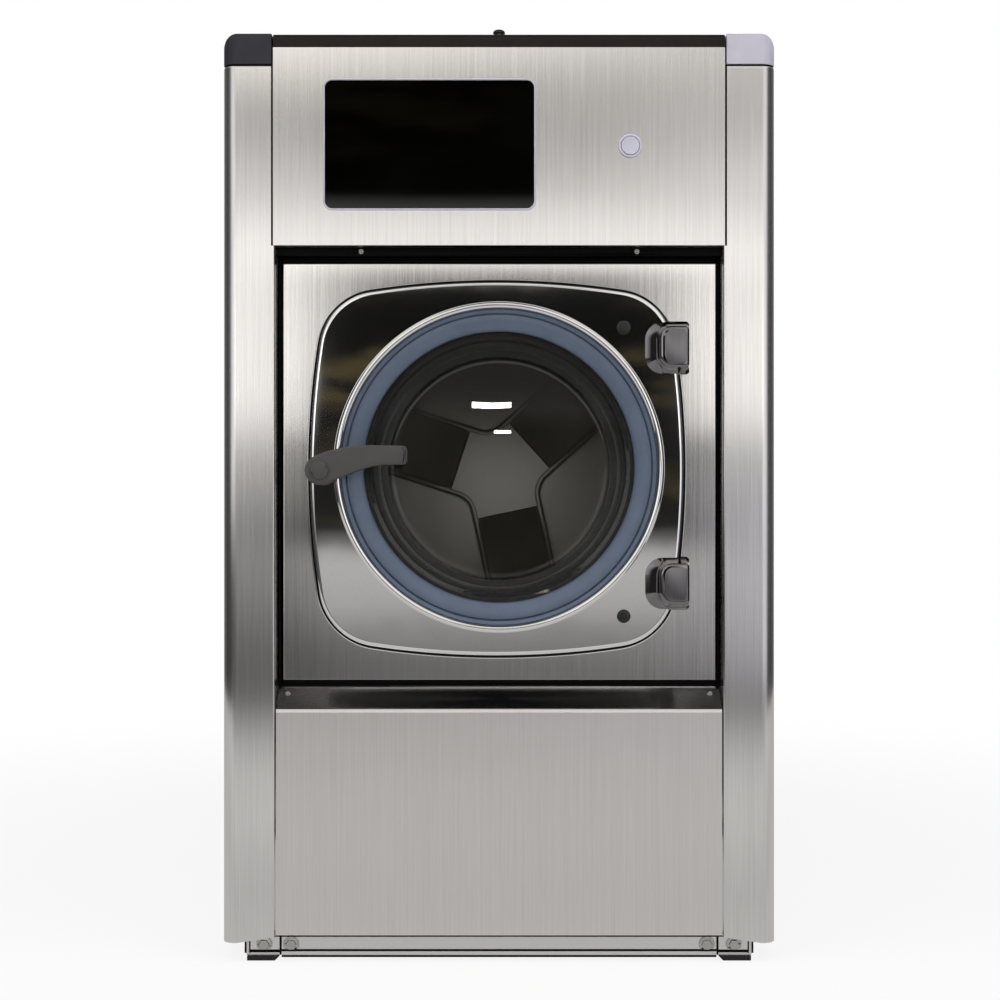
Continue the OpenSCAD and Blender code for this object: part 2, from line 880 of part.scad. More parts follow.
// Moulded box with three compartments, a spout down to the tub and lugs for the lid
module soap_hopper() {
  w = hopper_w / 2 + hopper_t;
  floor_z = cabinet_h - hopper_h;
  wall_x = (hopper_w - 2 * hopper_t) / 3;
  color([0.8, 0.8, 0.8])
    difference() {
      union() {
        block([-w, hopper_y0 - hopper_t, floor_z - hopper_t],
              [w, hopper_y1 + hopper_t, cabinet_h]);
        block([-lid_w / 2 - 4, lid_y0 - 3, cabinet_h],
              [lid_w / 2 + 4, lid_axis_y + 8, cabinet_h + rim_t]);
        rod_z(0, hopper_mid_y, spout_r + slip_gap + spout_t, spout_z0, floor_z);
        for (s = [-1, 1]) {
          block([s * lid_lug_x - 5, lid_axis_y - 5, cabinet_h],
                [s * lid_lug_x + 5, lid_axis_y + 5, lid_axis_z]);
          rod_x(lid_axis_y, lid_axis_z, 5, s * lid_lug_x - 5, s * lid_lug_x + 5);
          rod_x(lid_axis_y, lid_axis_z, lid_pin_r, s * lid_lug_x - 16, s * lid_lug_x + 16);
        }
      }
      for (i = [0:2])
        translate([-hopper_w / 2 + i * (wall_x + hopper_t), hopper_y0, floor_z])
          cube([wall_x, hopper_l, hopper_h + rim_t + cut]);
      rod_z(0, hopper_mid_y, spout_r + slip_gap, spout_z0 - cut, floor_z + cut);
      rod_y(manifold_x, pipe_z, manifold_r - 2, hopper_y1 - cut, hopper_y1 + hopper_t + cut);
    }
}
spout_z0 = axis_z + tub_r + tub_t + 18;

// Flat lid with a turned-down edge and two pairs of knuckles at the back
module soap_lid() {
  y1 = lid_axis_y - lid_knuckle_r - 1;
  color(steel)
    difference() {
      union() {
        block([-lid_w / 2, lid_y0, lid_z], [lid_w / 2, y1, lid_z + lid_t]);
        for (s = [-1, 1], d = [-1, 1]) {
          x = s * lid_lug_x + d * 11;
          rod_x(lid_axis_y, lid_axis_z, lid_knuckle_r, x - 4.5, x + 4.5);
          block([x - 4.5, y1 - cut, lid_z + 0.6], [x + 4.5, lid_axis_y, lid_z + lid_t + 0.6]);
        }
      }
      for (s = [-1, 1])
        rod_x(lid_axis_y, lid_axis_z, lid_pin_r + running_gap, s * lid_lug_x - 20, s * lid_lug_x + 20);
    }
}

module lid_knob() {
  color([0.35, 0.33, 0.31])
    translate([0, lid_y0 + 14, lid_z + lid_t])
      rotate_extrude()
        polygon(concat([[0, 0], [knob_d / 2, 0], [knob_d / 2 - 2, 2], [knob_d / 2 - 3, knob_h - 6]],
                       arc([knob_d / 2 - 6, knob_h - 5], 5, 0, 90, 6), [[0, knob_h]]));
}

// Water and power

// Solenoid valves inside, threaded inlets outside
module inlet_valves() {
  color([0.85, 0.85, 0.82])
    for (i = [0:2]) {
      x = inlet_x0 + i * inlet_step;
      difference() {
        union() {
          block([x - valve_w / 2, rear_y - sheet_t - valve_d, inlet_z - 26],
                [x + valve_w / 2, rear_y - sheet_t, inlet_z + 26]);
          rod_y(x, inlet_z, inlet_r, rear_y - sheet_t, rear_y + inlet_l);
        }
        rod_y(x, inlet_z, inlet_r - 4, rear_y - 12, rear_y + inlet_l + cut);
      }
    }
}

// Pipe that gathers the valves and runs forward to the hopper
module fill_pipe() {
  y = rear_y - sheet_t - valve_d - manifold_r;
  z = pipe_z;
  color(dark) {
    rod_x(y, z, manifold_r, inlet_x0 - 14, manifold_x);
    translate([manifold_x, y, z]) sphere(manifold_r);
    rod_y(manifold_x, z, manifold_r, hopper_y1 + hopper_t, y);
  }
}

// Cabinet for the contactors and the motor drive
module electrical_box() {
  y1 = rear_y - sheet_t;
  color([0.6, 0.62, 0.64])
    difference() {
      block([box_x0, y1 - box_d, box_z0], [box_x0 + box_w, y1, box_z0 + box_h]);
      block([box_x0 + box_t, y1 - box_d + box_t, box_z0 + box_t],
            [box_x0 + box_w - box_t, y1 - box_t, box_z0 + box_h - box_t]);
      rod_y(gland_x, gland_z, gland_r, y1 - box_t - cut, y1 + cut);
    }
}

module cable_gland() {
  y1 = rear_y - sheet_t;
  color(dark)
    difference() {
      union() {
        rod_y(gland_x, gland_z, gland_r, y1 - gland_l, rear_y);
        translate([gland_x, rear_y + gland_l, gland_z]) rotate([90, 0, 0])
          cylinder(h = gland_l, r = gland_r + 5, $fn = 6);
        rod_y(gland_x, gland_z, gland_r - 1, rear_y + gland_l, rear_y + gland_out);
      }
      rod_y(gland_x, gland_z, gland_bore_r, y1 - gland_l - cut, rear_y + gland_out + cut);
    }
}

// Suspended unit

// Flanged sheet around the door, carried by the tub
module front_panel() {
  x = front_panel_w / 2;
  r = 14;
  color(steel)
    difference() {
      block([-x, panel_y, front_panel_z0], [x, panel_y + r, front_panel_z1]);
      block([-x + front_panel_t, panel_y + front_panel_t, front_panel_z0 + front_panel_t],
            [x - front_panel_t, panel_y + r + cut, front_panel_z1 - front_panel_t]);
      rod_y(0, axis_z, neck_r + tub_t + 1, panel_y - cut, panel_y + r);
      rod_y(lever_x, lever_z, latch_r, panel_y - cut, panel_y + r);
      for (s = [-1, 1])
        block([hinge_x - lug_t / 2 - 1, panel_y - cut, hinge_z(s) - hinge_lug_h / 2 - 1],
              [hinge_x + lug_t / 2 + 1, panel_y + r, hinge_z(s) + hinge_lug_h / 2 + 1]);
    }
}
function hinge_z(s) = hinge_mid_z + s * hinge_span / 2;

// Steel tub with its back plate, a fill spigot on top and a drain hole below
module tub_shell() {
  color([0.62, 0.63, 0.64])
    difference() {
      union() {
        turned() {
          translate([tub_r, tub_front_y + tub_t]) square([tub_t, tub_rear_y - tub_front_y]);
          translate([tub_r + tub_t - 0.5, tub_front_y + tub_t]) square([12, tub_t]);
          translate([shaft_r + 14, tub_rear_y]) square([tub_r - shaft_r - 13, tub_t]);
        }
        rod_z(0, hopper_mid_y, spout_r, axis_z + tub_r, spout_z0 + 25);
      }
      rod_z(0, hopper_mid_y, spout_r - 3, axis_z + tub_r - 20, spout_z0 + 26);
      rod_z(drain_x, drain_y, drain_bore_r, axis_z - tub_r - 30, axis_z - tub_r / 2);
    }
}
drain_y = spring_mid_y - 60;
drain_bore_r = 30;

// Front plate of the tub with the neck that holds the gasket
module tub_front() {
  color([0.66, 0.67, 0.68])
    turned() {
      translate([neck_r, panel_y + front_panel_t + 0.5])
        square([tub_t, neck_l - front_panel_t - 0.5 + tub_t]);
      translate([neck_r, tub_front_y]) square([tub_r + tub_t + 11.5 - neck_r, tub_t]);
      translate([neck_r + tub_t - 0.5, panel_y + front_panel_t + 0.5]) square([14, 2]);
    }
}

// Rubber ring between the tub neck and the closed door
module door_gasket() {
  color(charcoal)
    turned()
      polygon([
        [gasket_r, door_back_y + 0.4], [neck_r + 13, door_back_y + 0.4],
        [neck_r + 13, panel_y - 0.3], [neck_r, panel_y - 0.3],
        [neck_r, tub_front_y + tub_t - 1], [gasket_r + 9, tub_front_y + tub_t - 1],
        [gasket_r, panel_y + 14]
      ]);
}

// Lock housing behind the door panel, open where the cam enters
module door_lock() {
  y0 = panel_y + front_panel_t;
  color([0.3, 0.3, 0.32])
    difference() {
      block([lever_x - lock_w, y0, lever_z - lock_w],
            [-neck_r - tub_t - 14, y0 + lock_d, lever_z + lock_w]);
      rod_y(lever_x, lever_z, latch_r, y0 - cut, y0 + lock_d - 10);
      turned() translate([0, y0 - cut]) square([neck_r + tub_t + 14, lock_d + 2 * cut]);
    }
}

lock_w = 44.5;
lock_d = 32;

// Lugs that come through the panel into the hinge covers
module hinge_brackets() {
  color([0.5, 0.5, 0.52])
    for (s = [-1, 1])
      difference() {
        union() {
          block([hinge_x - 18, panel_y + front_panel_t, hinge_z(s) - 32],
                [hinge_x + 28, panel_y + 13, hinge_z(s) + 32]);
          block([hinge_x - lug_t / 2, hinge_y, hinge_z(s) - hinge_lug_h / 2],
                [hinge_x + lug_t / 2, panel_y + 13, hinge_z(s) + hinge_lug_h / 2]);
          rod_z(hinge_x, hinge_y, lug_r, hinge_z(s) - hinge_lug_h / 2, hinge_z(s) + hinge_lug_h / 2);
        }
        rod_z(hinge_x, hinge_y, hinge_pin_r + running_gap,
              hinge_z(s) - hinge_lug_h, hinge_z(s) + hinge_lug_h);
      }
}

beam_t = 5;

// Beams, saddles and motor plate, welded into one cradle under the tub
module tub_cradle() {
  color([0.35, 0.37, 0.40])
    difference() {
      union() {
        both_sides()
          difference() {
            block([spring_x - beam_w / 2, beam_y0, beam_z],
                  [spring_x + beam_w / 2, bracket_y, beam_z + beam_h]);
            block([spring_x - beam_w / 2 + beam_t, beam_y0 + 2 * beam_t, beam_z + beam_t],
                  [spring_x + beam_w / 2 - beam_t, bracket_y - 2 * beam_t, beam_z + beam_h - beam_t]);
          }
        for (y = [beam_y0 + 30, tub_rear_y - 60])
          block([-spring_x - beam_w / 2, y, beam_z + beam_h - 20],
                [spring_x + beam_w / 2, y + bracket_t, axis_z - saddle_drop]);
        block([motor_x - motor_r - 20, bracket_y, motor_z - motor_r - 12],
              [spring_x + beam_w / 2, bracket_y + bracket_t, beam_z + beam_h]);
      }
      rod_y(0, axis_z, tub_r + tub_t, front_y, bracket_y);
      rod_y(motor_x, motor_z, motor_shaft_r + 10, bracket_y - cut, bracket_y + bracket_t + cut);
    }
}
saddle_drop = 180;

// Drum

// Basket: perforated wall, rolled front, embossed back plate
module drum() {
  color([0.70, 0.71, 0.70])
    difference() {
      union() {
        turned() {
          translate([drum_r, drum_front_y]) square([drum_t, drum_d + drum_back_t]);
          translate([drum_mouth_r, drum_front_y]) square([drum_r - drum_mouth_r + drum_t, drum_t]);
          translate([drum_mouth_r, drum_front_y]) square([drum_t, 10]);
          translate([0, drum_back_y]) square([drum_r + drum_t, drum_back_t]);
        }
        along_y(drum_back_y - star_h, drum_back_y) translate([0, axis_z]) star();
      }
      for (k = [0:2], j = [-3:3], i = [0:perforation_rows - 1])
        translate([0, drum_front_y + drum_d * (i + 0.7) / (perforation_rows + 0.4), axis_z])
          rotate([0, -(lifter_turn + 60 + 120 * k + 13 * j + 3 * (i % 2)), 0])
            translate([drum_r - 4, 0, 0]) rotate([0, 90, 0]) cylinder(h = 10, r = perforation_d / 2);
    }
}
// Three arms that meet with concave corners, as wide as the lifters
module star() {
  corner = (lifter_w / 2 + star_r) / sin(60) * [cos(60), sin(60)];
  arm = concat([[crease_r, -lifter_w / 2], [crease_r, lifter_w / 2]],
               arc(corner, star_r, -90, -150, 8));
  polygon([for (k = [0:2], p = arm) turned_by(p, lifter_turn + 120 * k)]);
}
function turned_by(p, a) = [p[0] * cos(a) - p[1] * sin(a), p[0] * sin(a) + p[1] * cos(a)];

// Three hollow ribs that rise from the back plate and run to the front
module lifters() {
  color([0.66, 0.67, 0.68])
    for (k = [0:2])
      translate([0, 0, axis_z]) rotate([0, -(lifter_turn + 120 * k), 0])
        intersection() {
          difference() {
            lifter_block(0);
            lifter_block(lifter_t);
          }
          translate([0, drum_front_y - cut, 0]) rotate([-90, 0, 0])
            cylinder(h = drum_d + 2 * cut, r = drum_r - 0.1);
        }
}
// Rib in radius and Y, shifted outwards and narrowed by the wall for its open inside
module lifter_block(wall) {
  y0 = drum_front_y + drum_t + 0.3;
  y1 = drum_back_y - 0.2;
  crest = drum_r - lifter_h;
  translate([wall, wall, -lifter_w / 2 + wall])
    linear_extrude(lifter_w - 2 * wall)
      polygon([[crease_r + 0.3, y1], [crease_r + 0.3, drum_back_y - star_h],
               [crest, drum_back_y - star_h - lifter_rise], [crest + 6, drum_front_y + 40],
               [crest + 26, y0], [drum_r, y0], [drum_r, y1]]);
}
lifter_rise = 120;
lifter_t = 2;

// Shaft with the three-armed spider behind the drum
module drum_shaft() {
  y0 = drum_back_y + drum_back_t;
  arm_r = drum_r - 8;
  color([0.55, 0.55, 0.57])
    difference() {
      union() {
        rod_y(0, axis_z, shaft_r, y0, shaft_end_y);
        rod_y(0, axis_z, 2 * shaft_r, y0, y0 + spider_hub_t);
        for (k = [0:2])
          translate([0, y0, axis_z]) rotate([0, -(lifter_turn + 120 * k), 0])
            translate([0, 0, -spider_w / 2]) cube([arm_r, spider_t, spider_w]);
      }
      rod_y(0, axis_z, bore_r, shaft_end_y - 28, shaft_end_y + cut);
    }
}
spider_w = 40;
spider_hub_t = 18;
bore_r = 8;

// Drive

// Cast housing with a flange on the tub back
module bearing_housing() {
  color([0.40, 0.42, 0.45])
    difference() {
      union() {
        turned() {
          translate([shaft_r + 14, housing_y]) square([flange_r - shaft_r - 14, flange_t]);
          translate([shaft_r + 4, housing_y + 4]) square([housing_r - shaft_r - 4, housing_l - 4]);
        }
        for (k = [0:5])
          translate([0, housing_y, axis_z]) rotate([0, 60 * k, 0])
            translate([housing_r - 17, 0, -rib_t / 2])
              linear_extrude(rib_t)
                polygon([[0, 0], [flange_r - housing_r + 13, 0], [flange_r - housing_r + 13, flange_t + rib_t],
                         [17, housing_l / 2], [0, housing_l / 2]]);
      }
      rod_y(0, axis_z, bearing_r, bearing_y[0], bearing_y[0] + bearing_w);
      rod_y(0, axis_z, bearing_r, bearing_y[1], housing_end_y + cut);
    }
}
flange_r = 130;
rib_t = 8;
bearing_y = [housing_y + 8, housing_end_y - 6 - bearing_w];
module bearings() {
  color(chrome)
    for (y = bearing_y)
      turned()
        difference() {
          translate([shaft_r + running_gap, y]) square([bearing_r - shaft_r - running_gap, bearing_w]);
          translate([shaft_r + 9, y - cut]) square([bearing_r - shaft_r - 18, cut + 2]);
          translate([shaft_r + 9, y + bearing_w - 2]) square([bearing_r - shaft_r - 18, cut + 2]);
        }
}

// Large pulley with a pierced web
module drum_pulley() {
  rim = 9;
  hub = 52;
  color([0.50, 0.51, 0.53])
    difference() {
      turned() {
        translate([pulley_r - rim, pulley_y]) square([rim, pulley_w]);
        translate([shaft_r, pulley_y]) square([hub - shaft_r, pulley_w]);
        translate([hub - cut, pulley_y + pulley_w / 2 - 5]) square([pulley_r - rim - hub + 2 * cut, 10]);
      }
      for (k = [0:5])
        rod_y((pulley_r + hub) / 2 * cos(60 * k), axis_z + (pulley_r + hub) / 2 * sin(60 * k), 38,
              pulley_y, pulley_y + pulley_w);
    }
}

// Flat loop around both pulleys
module drive_belt() {
  color(dark)
    along_y(pulley_y + 3, pulley_y + pulley_w - 3)
      difference() {
        polygon(belt_loop(0.4 + belt_t));
        polygon(belt_loop(0.4));
      }
}
// Outline of a band around the two pulleys, at a distance from their rims
function belt_loop(d) =
  let (v = [motor_x, motor_z - axis_z],
       dist = norm(v),
       dir = atan2(v[1], v[0]),
       half = acos((pulley_r - motor_pulley_r) / dist))
  concat(arc([0, axis_z], pulley_r + d, dir + half, dir + 360 - half, 72),
         arc([motor_x, motor_z], motor_pulley_r + d, dir - half, dir + half, 32));

module motor() {
  y0 = bracket_y - motor_l;
  color([0.35, 0.38, 0.42])
    difference() {
      union() {
        rod_y(motor_x, motor_z, motor_r, y0, bracket_y);
        for (k = [0:11])
          translate([motor_x, y0 + 20, motor_z]) rotate([0, 30 * k, 0])
            translate([motor_r - 2, 0, -1.5]) cube([7, motor_l - 50, 3]);
        block([motor_x - 35, y0 + 60, motor_z + motor_r - 6],
              [motor_x + 25, y0 + 120, motor_z + motor_r + 24]);
      }
      rod_y(motor_x, motor_z, motor_shaft_r + running_gap, y0 + 30, bracket_y + cut);
    }
}
module motor_shaft() {
  color(chrome) rod_y(motor_x, motor_z, motor_shaft_r, bracket_y - motor_l + 40, pulley_y + pulley_w + 4);
}
module motor_pulley() {
  color([0.50, 0.51, 0.53])
    difference() {
      union() {
        rod_y(motor_x, motor_z, motor_pulley_r, pulley_y, pulley_y + pulley_w);
        rod_y(motor_x, motor_z, motor_pulley_r + 4, pulley_y + pulley_w - 2, pulley_y + pulley_w);
      }
      rod_y(motor_x, motor_z, motor_shaft_r, pulley_y - cut, pulley_y + pulley_w + cut);
    }
}

// Suspension

module at_springs() {
  for (s = [-1, 1], t = [-1, 1])
    translate([s * spring_x, spring_mid_y + t * spring_y, 0]) children();
}
module at_dampers() {
  for (s = [-1, 1], t = [-1, 1])
    translate([s * spring_x, spring_mid_y + t * damper_y, 0]) children();
}

// Coil springs between the side rails and the beams
module suspension_springs() {
  color([0.25, 0.27, 0.30]) at_springs() coil();
}
// One unbroken wire on a helix, closed at both ends
module coil() {
  sides = 6;
  rings = 8 * spring_turns;
  r = spring_r - spring_wire / 2;
  z0 = foot_h + rail_t + spring_wire / 2 + 0.3;
  z1 = beam_z - spring_wire / 2 - 0.3;
  points = [for (i = [0:rings], j = [0:sides - 1])
    let (a = 360 * i / 8, b = 360 * j / sides, w = spring_wire / 2)
    [(r + w * cos(b)) * cos(a), (r + w * cos(b)) * sin(a), z0 + (z1 - z0) * i / rings + w * sin(b)]];
  skin = [for (i = [0:rings - 1], j = [0:sides - 1])
    let (a = i * sides + j, b = i * sides + (j + 1) % sides)
    each [[a, a + sides, b], [b, a + sides, b + sides]]];
  start = [for (j = [1:sides - 2]) [0, j, j + 1]];
  finish = [for (j = [1:sides - 2]) [rings * sides, rings * sides + j + 1, rings * sides + j]];
  polyhedron(points, concat(skin, start, finish));
}

// Damper tubes on the side rails
module damper_cylinders() {
  z0 = foot_h + rail_t;
  color([0.3, 0.3, 0.32])
    at_dampers()
      difference() {
        cylinder_from(damper_r, z0, z0 + damper_h);
        cylinder_from(damper_r - 4, z0 + 5, z0 + damper_h - 8);
        cylinder_from(damper_rod_r + running_gap, z0 + damper_h - 9, z0 + damper_h + cut);
      }
}
// Damper pistons and rods under the beams
module damper_rods() {
  z0 = foot_h + rail_t + damper_h - 60;
  color(chrome)
    at_dampers() {
      cylinder_from(damper_rod_r, z0, beam_z);
      cylinder_from(damper_r - 4.5, z0, z0 + 20);
    }
}
module cylinder_from(r, z0, z1) {
  translate([0, 0, z0]) cylinder(h = z1 - z0, r = r);
}

// Drain

// Dump valve under the tub, with a spigot pointing down
module drain_valve() {
  top = axis_z - tub_r - tub_t;
  color([0.28, 0.29, 0.30])
    difference() {
      union() {
        rod_z(drain_x, drain_y, drain_bore_r + 6, top - 60, top + 20);
        block([drain_x - valve_r, drain_y - valve_r, valve_z0], [drain_x + valve_r, drain_y + valve_r, top - 58]);
        rod_z(drain_x, drain_y, spigot_r, spigot_z, valve_z0 + cut);
        block([drain_x + valve_r - cut, drain_y - 20, valve_z0 + 10],
              [drain_x + valve_r + 42, drain_y + 20, valve_z0 + 55]);
      }
      rod_z(drain_x, drain_y, drain_bore_r - 2, spigot_z - cut, top + 20 + cut);
      rod_y(0, axis_z, tub_r + tub_t, drain_y - 100, drain_y + 100);
    }
}
spigot_r = drain_r - 4.5;
spigot_z = drain_z + drain_r + 10.5;
valve_r = 48;
valve_z0 = axis_z - tub_r - tub_t - 130;

// Drain elbow on the base: slips over the spigot and leaves through the rear
module drain_pipe() {
  bore = spigot_r + slip_gap;
  socket_z = drain_z + 90;
  outlet_in = 10;
  color([0.2, 0.2, 0.22])
    difference() {
      union() {
        rod_z(drain_x, drain_y, drain_r, drain_z - drain_r, socket_z);
        rod_y(drain_x, drain_z, drain_r - 1.5, drain_y, rear_y);
        rod_y(drain_x, drain_z, drain_r, rear_y - outlet_in, rear_y + drain_l);
        block([drain_x - 30, drain_y - 20, foot_h + 1.5],
              [drain_x + 30, drain_y + 20, drain_z - drain_r / 2]);
      }
      rod_z(drain_x, drain_y, bore, drain_z - bore / 2, socket_z + cut);
      rod_y(drain_x, drain_z, bore, drain_y, rear_y + drain_l + cut);
    }
}

// Door

// Barrel-sided square: a shallow arc along each side and a short one round each corner
function door_outline(inset) =
  let (a = door_side_r - door_r,
       b = door_side_r - door_corner_r,
       u = (sqrt(2 * b * b - a * a) - a) / 2,
       turn = atan2(u, u + a))
  [for (k = [0:3])
    each concat(arc(-a * [cos(90 * k), sin(90 * k)], door_side_r - inset,
                    90 * k - turn * 0.8, 90 * k + turn * 0.8, 6),
                arc(u * sqrt(2) * [cos(45 + 90 * k), sin(45 + 90 * k)], door_corner_r - inset,
                    90 * k + turn, 90 * (k + 1) - turn, 12))];
module door_slab(inset, y0, y1) {
  along_y(y0, y1) translate([door_x, door_z]) polygon(door_outline(inset));
}

// Polished stamping: rounded rim, bead round the window, covers over the hinges
module door_plate() {
  back = door_back_y - frame_edge;
  color(chrome)
    difference() {
      union() {
        door_slab(frame_lip, plate_y + rim_r, back);
        hull() {
          door_slab(frame_lip, plate_y + rim_r, plate_y + rim_r + 0.5);
          door_slab(frame_lip + rim_r * 0.3, plate_y + rim_r * 0.3, plate_y + rim_r * 0.3 + 0.1);
          door_slab(frame_lip + rim_r, plate_y, plate_y + 0.1);
        }
        turned()
          difference() {
            translate([window_r + bead_w / 2, plate_y]) scale([bead_w / 2 / bead_h, 1]) circle(bead_h);
            translate([0, plate_y + 1]) square([window_r + bead_w + cut, bead_h]);
          }
        for (s = [-1, 1]) hinge_cover(s);
      }
      rod_y(0, axis_z, window_r, plate_y - bead_h - cut, back + cut);
      door_slab(frame_edge, plate_y + plate_t + rim_r / 2, back + cut);
      for (s = [-1, 1]) {
        hinge_space(s);
        hinge_pocket(s, 0);
        rod_y(plug_x, plug_z(s), plug_r, plate_y - cut, plate_y + 20);
      }
      rod_y(lever_x, lever_z, spindle_r + running_gap, plate_y - cut, back + cut);
    }
}
plug_x = 178;
plug_r = 9;
function plug_z(s) = plug_mid_z + s * plug_span / 2;

// D-shaped cover, wide at the plate and narrower at its flat top
module hinge_cover(s) {
  z = hinge_z(s);
  w = bulge_w;
  h = bulge_h;
  hull() {
    cover_corner(bulge_right - w, z - h / 2, 26, 1, plate_y - 0.5);
    cover_corner(bulge_right - w, z + h / 2, 26, -1, plate_y - 0.5);
    cover_corner(bulge_right, z - h / 2, 6, 1, plate_y - 0.5);
    cover_corner(bulge_right, z + h / 2, 6, -1, plate_y - 0.5);
    cover_corner(bulge_right - w + 22, z - h / 2 + 8, 18, 1, bulge_y);
    cover_corner(bulge_right - w + 22, z + h / 2 - 8, 18, -1, bulge_y);
    cover_corner(bulge_right - 2, z - h / 2 + 8, 5, 1, bulge_y);
    cover_corner(bulge_right - 2, z + h / 2 - 8, 5, -1, bulge_y);
  }
  block([bulge_right - w + 30, plate_y - 0.5, z - h / 2 + 2],
        [bulge_right, door_back_y - frame_edge, z + h / 2 - 2]);
}
// One upright corner of a cover, running from a given depth back to the plate
module cover_corner(x, z, r, up, y) {
  side = x > hinge_x ? -1 : 1;
  translate([x + side * r, y + 1, z + up * r]) rotate([90, 0, 0]) cylinder(h = 1, r = r, $fn = 32);
}
// Room in which the lug swings as the door opens
module hinge_space(s) {
  half = hinge_lug_h / 2 + hinge_clear;
  block([hinge_x - lug_r - hinge_clear, hinge_y - lug_r - hinge_clear, hinge_z(s) - half],
        [bulge_right + 2 * cut, panel_y, hinge_z(s) + half]);
}
// Room for the ears of the inner frame that hold the pin
module hinge_pocket(s, gap) {
  half = hinge_lug_h / 2 + hinge_clear + ear_t + gap;
  block([hinge_x - lug_r - 8 - gap, hinge_y - lug_r - gap, hinge_z(s) - half],
        [hinge_x + lug_r - 1 + gap, panel_y, hinge_z(s) + half]);
}

// Cast ring inside the door, with ears for the hinge pins
module door_frame() {
  front = plate_y + plate_t + rim_r / 2;
  color(dark)
    difference() {
      union() {
        door_slab(frame_edge + 0.4, front, door_back_y);
        door_slab(0, door_back_y - frame_edge, door_back_y);
        for (s = [-1, 1]) {
          difference() {
            hinge_pocket(s, -0.3);
            translate([0, door_back_y, 0]) block([0, 0, 0], [2 * side_x, 100, cabinet_h]);
          }
        }
      }
      rod_y(0, axis_z, window_r - bowl_seat - 2, front - cut, door_back_y + cut);
      rod_y(0, axis_z, window_r + 1, front - cut, ring_y + 16);
      for (s = [-1, 1]) {
        hinge_space(s);
        rod_z(hinge_x, hinge_y, hinge_pin_r, hinge_z(s) - pin_half, hinge_z(s) + pin_half);
        rod_y(plug_x, plug_z(s), plug_r, front - cut, front + 8);
      }
      rod_y(lever_x, lever_z, spindle_r + running_gap, front - cut, door_back_y + cut);
    }
}
pin_half = hinge_lug_h / 2 + hinge_clear + ear_t - 2;

// Hinge pins, held by the ears of the door frame
module hinge_pins() {
  color(chrome)
    for (s = [-1, 1])
      rod_z(hinge_x, hinge_y, hinge_pin_r, hinge_z(s) - pin_half, hinge_z(s) + pin_half);
}

// Brushed inserts on the hinge covers
module hinge_inserts() {
  color([0.45, 0.44, 0.43])
    for (s = [-1, 1])
      translate([bulge_right - bulge_w / 2 + 11.5, bulge_y, hinge_z(s)])
        rotate([90, 0, 0]) linear_extrude(1.2) round_rect(31, 48.5, 8);
}

module door_plugs() {
  color(dark)
    for (s = [-1, 1]) {
      rod_y(plug_x, plug_z(s), plug_r, plate_y, plate_y + plate_t + rim_r / 2 + 6);
      rod_y(plug_x, plug_z(s), plug_r + 1, plate_y - 1.5, plate_y);
    }
}

// Moulded ring that covers the edge of the glass
module window_ring() {
  color(blue_grey)
    turned()
      polygon([
        [window_r - 0.4, ring_y], [window_r - 0.4, ring_y + 16], [ring_inner_r + 3, ring_y + 16],
        [ring_inner_r, ring_y + 13], [ring_inner_r, ring_y + 6], [ring_inner_r + 5, ring_y + 1.5],
        [ring_inner_r + 10, ring_y]
      ]);
}

// Pressed glass bowl: rim, flank and slightly domed end
module glass_bowl() {
  rim_y = ring_y + 16;
  bend = 16;
  color([0.35, 0.38, 0.36, 0.5])
    turned()
      polygon(concat(
        [[window_r - bowl_seat - 2.5, rim_y], [window_r - bowl_seat - 2.5, rim_y + 6],
         [bowl_front_r + 1, rim_y + 6], [bowl_front_r, door_back_y]],
        arc([bowl_back_r - bend, bowl_end_y - bend], bend, 10, 90, 6),
        [[0, bowl_end_y + 6], [0, bowl_end_y + 6 - bowl_t]],
        arc([bowl_back_r - bend, bowl_end_y - bend], bend - bowl_t, 90, 10, 6),
        [[bowl_front_r - bowl_t, rim_y + 4], [bowl_front_r - bowl_t + 2, rim_y]]
      ));
}

// Lever

module lever_handle() {
  hub_back = plate_y - bead_h + 2;
  color(charcoal) {
    rod_y(lever_x, lever_z, lever_hub_r, arm_y, hub_back);
    rod_y(lever_x, lever_z, spindle_r + 4, hub_back, plate_y - 0.5);
    along_y(arm_y, arm_y + lever_t) translate([lever_x, lever_z]) lever_arm();
    rod_y(lever_x, lever_z, spindle_r, hub_back, door_back_y + 2);
  }
}
// Curved arm with a square end, its points as offsets from the pivot
module lever_arm() {
  end_r = 6.6;
  end_x = lever_l - end_r;
  low = 7.4;
  high = 34.4;
  polygon([[-10.3, 18], [9, 26], [29.8, 31.2], [46, 33.8], [61.3, 35.1], [end_x, high],
           [end_x, low], [88.5, 6.9], [74, 4.8], [61.3, 1.1], [48, -3.6], [34.1, -8.9], [12, -17]]);
  translate([end_x - cut, low + end_r]) square([end_r + cut, high - low - 2 * end_r]);
  for (z = [low + end_r, high - end_r])
    translate([end_x, z]) circle(end_r);
}
module lever_cap() {
  color(dark) rod_y(lever_x, lever_z, 13.2, arm_y - lever_cap_t, arm_y);
}
// Cam on the inner end of the spindle, which turns in the lock
module latch_cam() {
  color(chrome)
    along_y(door_back_y + 2, panel_y + 16)
      translate([lever_x, lever_z]) {
        circle(spindle_r);
        translate([0, -6]) square([cam_l, 12]);
      }
}

